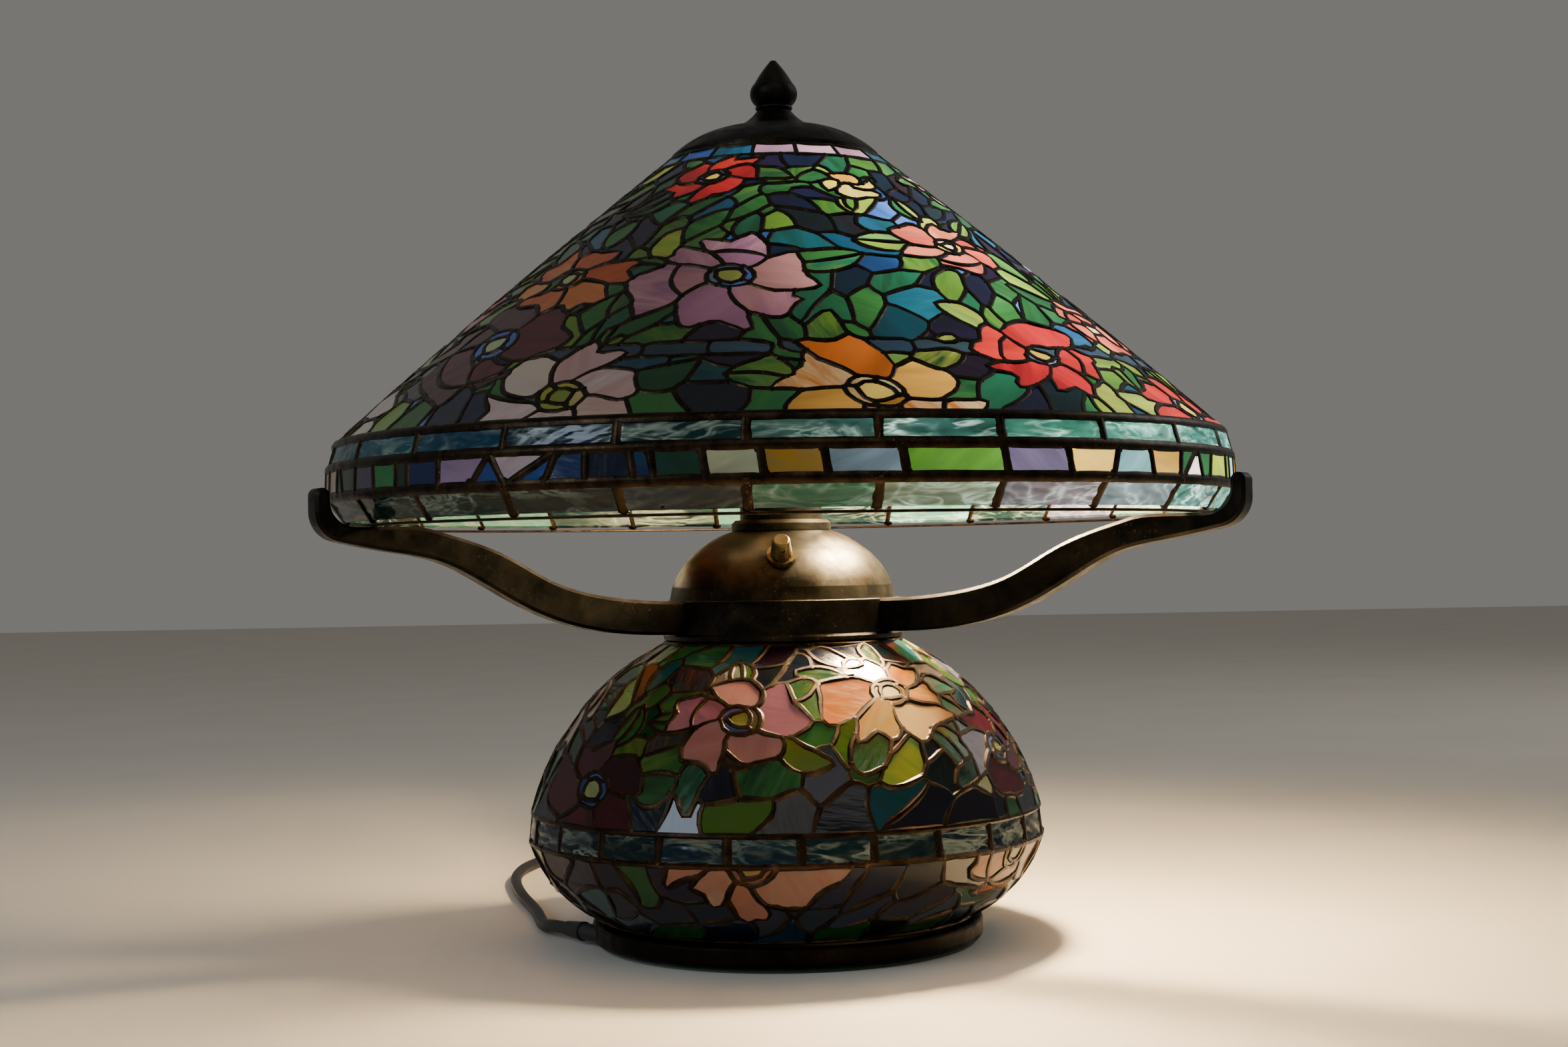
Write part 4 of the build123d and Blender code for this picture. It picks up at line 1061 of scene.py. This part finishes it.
def glass_material(name, depth, gloss, threads=False):
    """Streaky art glass. Its streaks run along each piece's own flow direction. Rippled glass
    also gets painted threads of light, as its waves would gather them: a paler colour and a
    stronger glow. depth is how dark the glass is in plain light."""
    m = Mat(name)
    place, flow = m.place(), m.attribute("flow", "Vector")
    squash = m.scaled(flow, m.times(m.vector("DOT_PRODUCT", place, flow, "Value"), 0.78))
    shift = m.scaled((3.1, 1.7, 2.3), m.attribute("seed", "Fac"))
    where = m.vector("ADD", m.vector("SUBTRACT", place, squash), shift)
    streak = m.span(m.noise(where, 95, 4, 0.6, 0.8), 0.36, 0.66)
    colour = m.mix(streak, m.attribute("tint", "Color"), m.attribute("tint2", "Color"))
    cloud = m.span(m.noise(where, 60, 3), 0.3, 0.7, 0.55, 1.32)
    if threads:
        # Painted light: bright threads, mixed towards a pale colour and added to the glow.
        wave = m.math("ABSOLUTE", m.math("SUBTRACT", m.noise(where, 105, 3, 0.55, 1.6), 0.5))
        gate = m.span(m.noise(where, 50, 2), 0.4, 0.62)
        thread = m.times(m.span(wave, 0.0, 0.075, 1.0, 0.0), gate)
        colour = m.mix(m.times(thread, 0.6), colour, PAINTED_THREAD_COLOUR)
        cloud = m.math("ADD", m.times(cloud, 0.75), m.times(thread, 1.8))
    body = m.mix(1.0, colour, (depth, depth, depth), "MULTIPLY")
    m.set(Base_Color=body, Roughness=m.span(m.noise(where, 420, 2), 0.3, 0.7, 0.07, 0.2))
    m.set(Emission_Color=colour, Emission_Strength=m.times(m.attribute("glow", "Fac"), cloud))
    m.set(Specular_IOR_Level=gloss, IOR=1.45)
    m.bump(m.noise(where, 130, 3), 0.45, 0.0006)
    return m.material


def metal_material(name, dark, light, wear_and_glint, rough, scale=60, pitted=0.3):
    """Patinated metal: dark in general, lighter in clouds, and bright in small specks of wear; on the lead
    came these specks are also painted glints.
    """
    m = Mat(name)
    place = m.place()
    cloud = m.span(m.noise(place, scale, 5, 0.6, 0.4), 0.38, 0.68)
    specks = m.span(m.noise(place, scale * 9, 4, 0.7), 0.6, 0.72)
    patches = m.span(m.noise(place, scale * 0.35, 3), 0.5, 0.7)
    colour = m.mix(cloud, srgb(dark), srgb(light))
    colour = m.mix(m.times(specks, patches), colour, srgb(wear_and_glint))
    m.set(Base_Color=colour, Roughness=m.span(m.noise(place, scale * 2.2, 3), 0.3, 0.7, *rough), Metallic=1.0)
    m.bump(m.noise(place, scale * 6, 4, 0.65), pitted, 0.0004)
    return m.material


def plain_material(name, dark, light, rough, scale=200, bump=0.2, glow=None):
    """A non-metal with a slight mottle and grain, and a glow of its own if it has a colour and strength."""
    m = Mat(name)
    place = m.place()
    m.set(Base_Color=m.mix(m.noise(place, scale, 4), srgb(dark), srgb(light)), Metallic=0.0)
    m.set(Roughness=m.span(m.noise(place, scale * 1.7, 3), 0.3, 0.7, *rough))
    m.bump(m.noise(place, scale * 5, 3), bump, 0.0002)
    if glow:
        m.set(Emission_Color=srgb(glow[0]), Emission_Strength=glow[1])
    return m.material


def felt_material():
    m = Mat("felt")
    fibre = m.noise(m.place(), 900, 6, 0.8)
    m.set(Base_Color=m.mix(fibre, srgb("1d3324"), srgb("3a5a42")), Roughness=0.95, Sheen_Weight=0.5)
    m.bump(fibre, 0.8, 0.0006)
    return m.material


GLASS = glass_material("art_glass", 0.27, 0.4)
BASE_GLASS = glass_material("base_glass", 0.17, 0.32)
RIPPLED = glass_material("rippled_glass", 0.25, 0.25, threads=True)
BRONZE = metal_material("bronze", "11110f", "272520", "6c6450", (0.36, 0.58))
BRONZE_DOME = metal_material("bronze_dome", "1c1b18", "393730", "87806a", (0.34, 0.48))
AGED_BRASS = metal_material("aged_brass", "4c4430", "7c7052", "b8ab80", (0.26, 0.42), 90)
BRONZE_DARK = metal_material("bronze_dark", "0d0b09", "1c1711", "4a3c26", (0.4, 0.62))
# The lead's brassy specks are partly wear of its patina and partly painted glints.
LEAD = metal_material("lead_came", "17120e", "33281c", "a58446", (0.28, 0.5), 120)
BRASS = metal_material("brass", "7d6636", "ab8f56", "dcc690", (0.24, 0.42), 90, 0.15)
NICKEL = metal_material("nickel", "8e8b86", "bdbab4", "e8e6e0", (0.2, 0.34), 110, 0.1)
IRON = metal_material("cast_iron", "26282a", "3d4042", "6a6258", (0.55, 0.75), 140, 0.7)
CORD = plain_material("cord_black", "0c0c0d", "1c1c1e", (0.42, 0.58), 350)
INSULATOR = plain_material("insulator", "141210", "2a2622", (0.35, 0.5))
FELT = felt_material()
BULB_OFF = plain_material("bulb_frosted", "dedcd6", "f3f1ec", (0.25, 0.38), 80, 0.05)
BULB_ON = plain_material("bulb_lit", "fff1d8", "fff8ec", (0.3, 0.4), 80, 0.05, ("ffdca8", 1200.0))
BULB_INNER = plain_material("bulb_inner", "ffe9c4", "fff4e0", (0.3, 0.4), 80, 0.05, ("ffd69a", 1.5))

FINISHES = {
    BRONZE_DOME: "dome_cover cluster_collar",
    BRONZE: "vase_cap finial spider_hub spider_arm_left spider_arm_right spider_arm_back "
    "cluster_neck cluster_body neck_collar",
    BRONZE_DARK: "foot_casting",
    LEAD: "shade_rim_ring shade_top_ring",
    AGED_BRASS: "switch_knob switch_ring_nut switch_shaft",
    BRASS: "socket_shell_left socket_shell_right "
    "socket_cap_left socket_cap_right socket_screw_shells cap_stud cap_nut rod_nuts inner_bulb_base",
    NICKEL: "bulb_base_left bulb_base_right arm_screws base_plate_screws base_plate centre_rod plug_pins "
    "bulb_filament_left bulb_filament_right",
    IRON: "base_weight",
    FELT: "felt_pad",
    CORD: "inner_lead cord_bushing plug_body",
    INSULATOR: "socket_insulators switch_body inner_lampholder",
    BULB_OFF: "bulb_glass_left",
    BULB_ON: "bulb_glass_right",
    BULB_INNER: "inner_bulb_glass",
}
for finish, names in FINISHES.items():
    for name in names.split():
        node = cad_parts[name]
        node.data.materials.clear()
        node.data.materials.append(finish)

# ---- the cord
CORD_SIZE = 6.5
CORD_SIZE, CORD_Z = 6.5, 3.4
EXIT, EXIT_WAY, EXIT_FREE = (-97.5, -17.19, 7.05), (-0.6691, 0.7431), 22


def along_exit(distance):
    return (EXIT[0] + EXIT_WAY[0] * distance, EXIT[1] + EXIT_WAY[1] * distance, EXIT[2])


LEAD_ROUTE = [
    along_exit(EXIT_FREE), along_exit(35), (-126.5, 22, 4.4), (-131, 45, CORD_Z), (-137.5, 80, CORD_Z),
    (-154, 140, CORD_Z), (-166, 208, CORD_Z), (-163, 264, CORD_Z), (-142, 308, CORD_Z),
    (-112, 332, CORD_Z), (-84, 339.5, CORD_Z),
]
COIL_AT = (-62.0, 296.5)
WIDE, SLIM, LAYER = 42.3, 35.5, 6.6
# The coil's winding: degrees wound, radius, and layer. It goes clockwise, two turns to a layer.
WINDING = (
    (0, 44.0, 0), (25, WIDE, 0), (330, WIDE, 0), (380, SLIM, 0), (640, SLIM, 0), (690, SLIM, 1),
    (950, SLIM, 1), (1000, WIDE, 1), (1260, WIDE, 1), (1310, WIDE, 2), (1580, WIDE, 2),
    (1630, SLIM, 2), (1845, SLIM, 2),
)
COIL_START, COIL_STEP, COIL_END = 119, 25, 1845


def coil_points():
    wound, radii, layers = zip(*WINDING)
    points = []
    for w in range(COIL_STEP, COIL_END, COIL_STEP):
        r = float(np.interp(w, wound, radii)) / math.cos(math.radians(COIL_STEP / 2)) ** 0.5
        t = math.radians(COIL_START - w)
        z = CORD_Z + LAYER * float(np.interp(w, wound, layers))
        points.append((COIL_AT[0] + r * math.cos(t), COIL_AT[1] + r * math.sin(t), z))
    return points


TAIL_ROUTE = [
    (-33, 322.5, 21.5), (-23.5, 311, 23.4), (-18.5, 298, 22), (-15.5, 286, 14.5), (-14.5, 274, 6.5),
    (-15.5, 264, 4.6), (-14, 255, 7), (-9.5, 245.1, 7),
]


def make_cord():
    points = LEAD_ROUTE + coil_points() + TAIL_ROUTE
    curve = bpy.data.curves.new("power_cord", "CURVE")
    curve.dimensions = "3D"
    curve.bevel_depth = CORD_SIZE / 2 * MM
    curve.bevel_resolution = 4
    curve.resolution_u = 5
    curve.use_fill_caps = True
    spline = curve.splines.new("NURBS")
    spline.points.add(len(points) - 1)
    for place, point in zip(spline.points, points):
        place.co = (*(c * MM for c in point), 1.0)
    spline.order_u = 3
    spline.use_endpoint_u = True
    curve.materials.append(CORD)
    obj = add_object("power_cord", curve)
    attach(obj, "lamp")
    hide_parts("cord_lead", "cord_coil", "cord_tail")
    return obj


def make_tie():
    """The strap that holds the coil together, round one side of it."""
    store = Store()
    t = math.radians(205)
    out, along = np.array([math.cos(t), math.sin(t), 0]), np.array([-math.sin(t), math.cos(t), 0])
    centre = np.array([*COIL_AT, 0.0])
    r_in, r_out, z_low, z_high, thick, wide = 31.5, 46.3, 0.35, 20.4, 0.7, 4.5
    steps, power = 40, 0.45  # the power makes the loop's round outline squarer
    verts, faces = [], []
    for k in range(steps):
        c, s = math.cos(TAU * k / steps), math.sin(TAU * k / steps)
        x, z = (math.copysign(abs(way) ** power, way) for way in (c, s))
        for grow in (0, thick):
            r = (r_in + r_out) / 2 + x * ((r_out - r_in) / 2 + grow)
            height = (z_low + z_high) / 2 + z * ((z_high - z_low) / 2 + (grow if s > 0 else 0.4 * grow))
            for side in (-1, 1):
                verts.append(centre + out * r + along * side * wide + np.array([0, 0, height]))
        a, b = 4 * k, 4 * ((k + 1) % steps)
        faces += [(a + i, b + i, b + j, a + j) for i, j in ((0, 1), (1, 3), (3, 2), (2, 0))]
    store.add(verts, faces)
    return store.build("coil_tie", CORD, "lamp", "cord_black", colours=False)


cord = make_cord()
tie = make_tie()
tuple(c * MM for c in along_exit(EXIT_FREE))

# ---- the shade and the base
make_border()
shade_panes, low_beads, high_beads = Store(), Store(), Store()
make_shade_mosaic().build(shade_panes, low_beads, high_beads, LEAD_SPLIT_Z, shade_glow)
add_hoop(high_beads, 55.9, 396.0, 50, half_w=1.3, half_h=1.4)
shade_panes.build(
    "shade_glass", GLASS, "shade", "shade_glass",
    ["shade_glass_upper", "shade_glass_lower", "shade_strip_tiles"],
)
low_beads.build("shade_leading_lower", LEAD, "shade", "lead", ["shade_came_rings"], colours=False)
high_beads.build("shade_leading_upper", LEAD, "shade", "lead", colours=False)

base_beads = Store()
make_belt(base_beads)
for mosaic, name in zip(make_base_mosaics(), ("base_glass_upper", "base_glass_lower")):
    panes = Store()
    mosaic.build(panes, base_beads, base_beads, 0, base_glow, flat=0.95, sway=0.035)
    panes.build(name + "_panes", BASE_GLASS, "lamp", "base_glass", [name])
base_beads.build("base_leading", LEAD, "lamp", "lead", ["base_came_rings"], colours=False)

# ---- floor and light
FLOOR = 6.0
floor_mesh = bpy.data.meshes.new("floor")
corners = [(-FLOOR, -FLOOR, 0), (FLOOR, -FLOOR, 0), (FLOOR, FLOOR, 0), (-FLOOR, FLOOR, 0)]
floor_mesh.from_pydata(corners, [], [(0, 1, 2, 3)])
floor_mesh.materials.append(plain_material("floor", "c9c2b6", "d6d0c5", (0.5, 0.6), 6, 0.02))
add_object("floor", floor_mesh)

world = bpy.data.worlds.new("world")
bpy.context.scene.world = world
world.use_nodes = True
background = world.node_tree.nodes["Background"]
background.inputs["Color"].default_value = (0.86, 0.83, 0.78, 1)
background.inputs["Strength"].default_value = 0.22


def area_light(name, at, aim, size, power, colour):
    data = bpy.data.lights.new(name, "AREA")
    data.size, data.energy, data.color = size, power, colour
    light = add_object(name, data)
    light.location = at
    light.rotation_euler = (Vector(aim) - Vector(at)).to_track_quat("-Z", "Y").to_euler()


area_light("window", (-1.5, -1.3, 1.0), (0, 0, 0.2), 0.7, 16, (0.72, 0.84, 1.0))
area_light("key", (0.5, -2.0, 2.2), (0, 0, 0.2), 1.8, 14, (1.0, 0.95, 0.9))
area_light("back", (2.0, 0.9, 1.5), (0, 0, 0.25), 1.2, 12, (1.0, 0.95, 0.88))
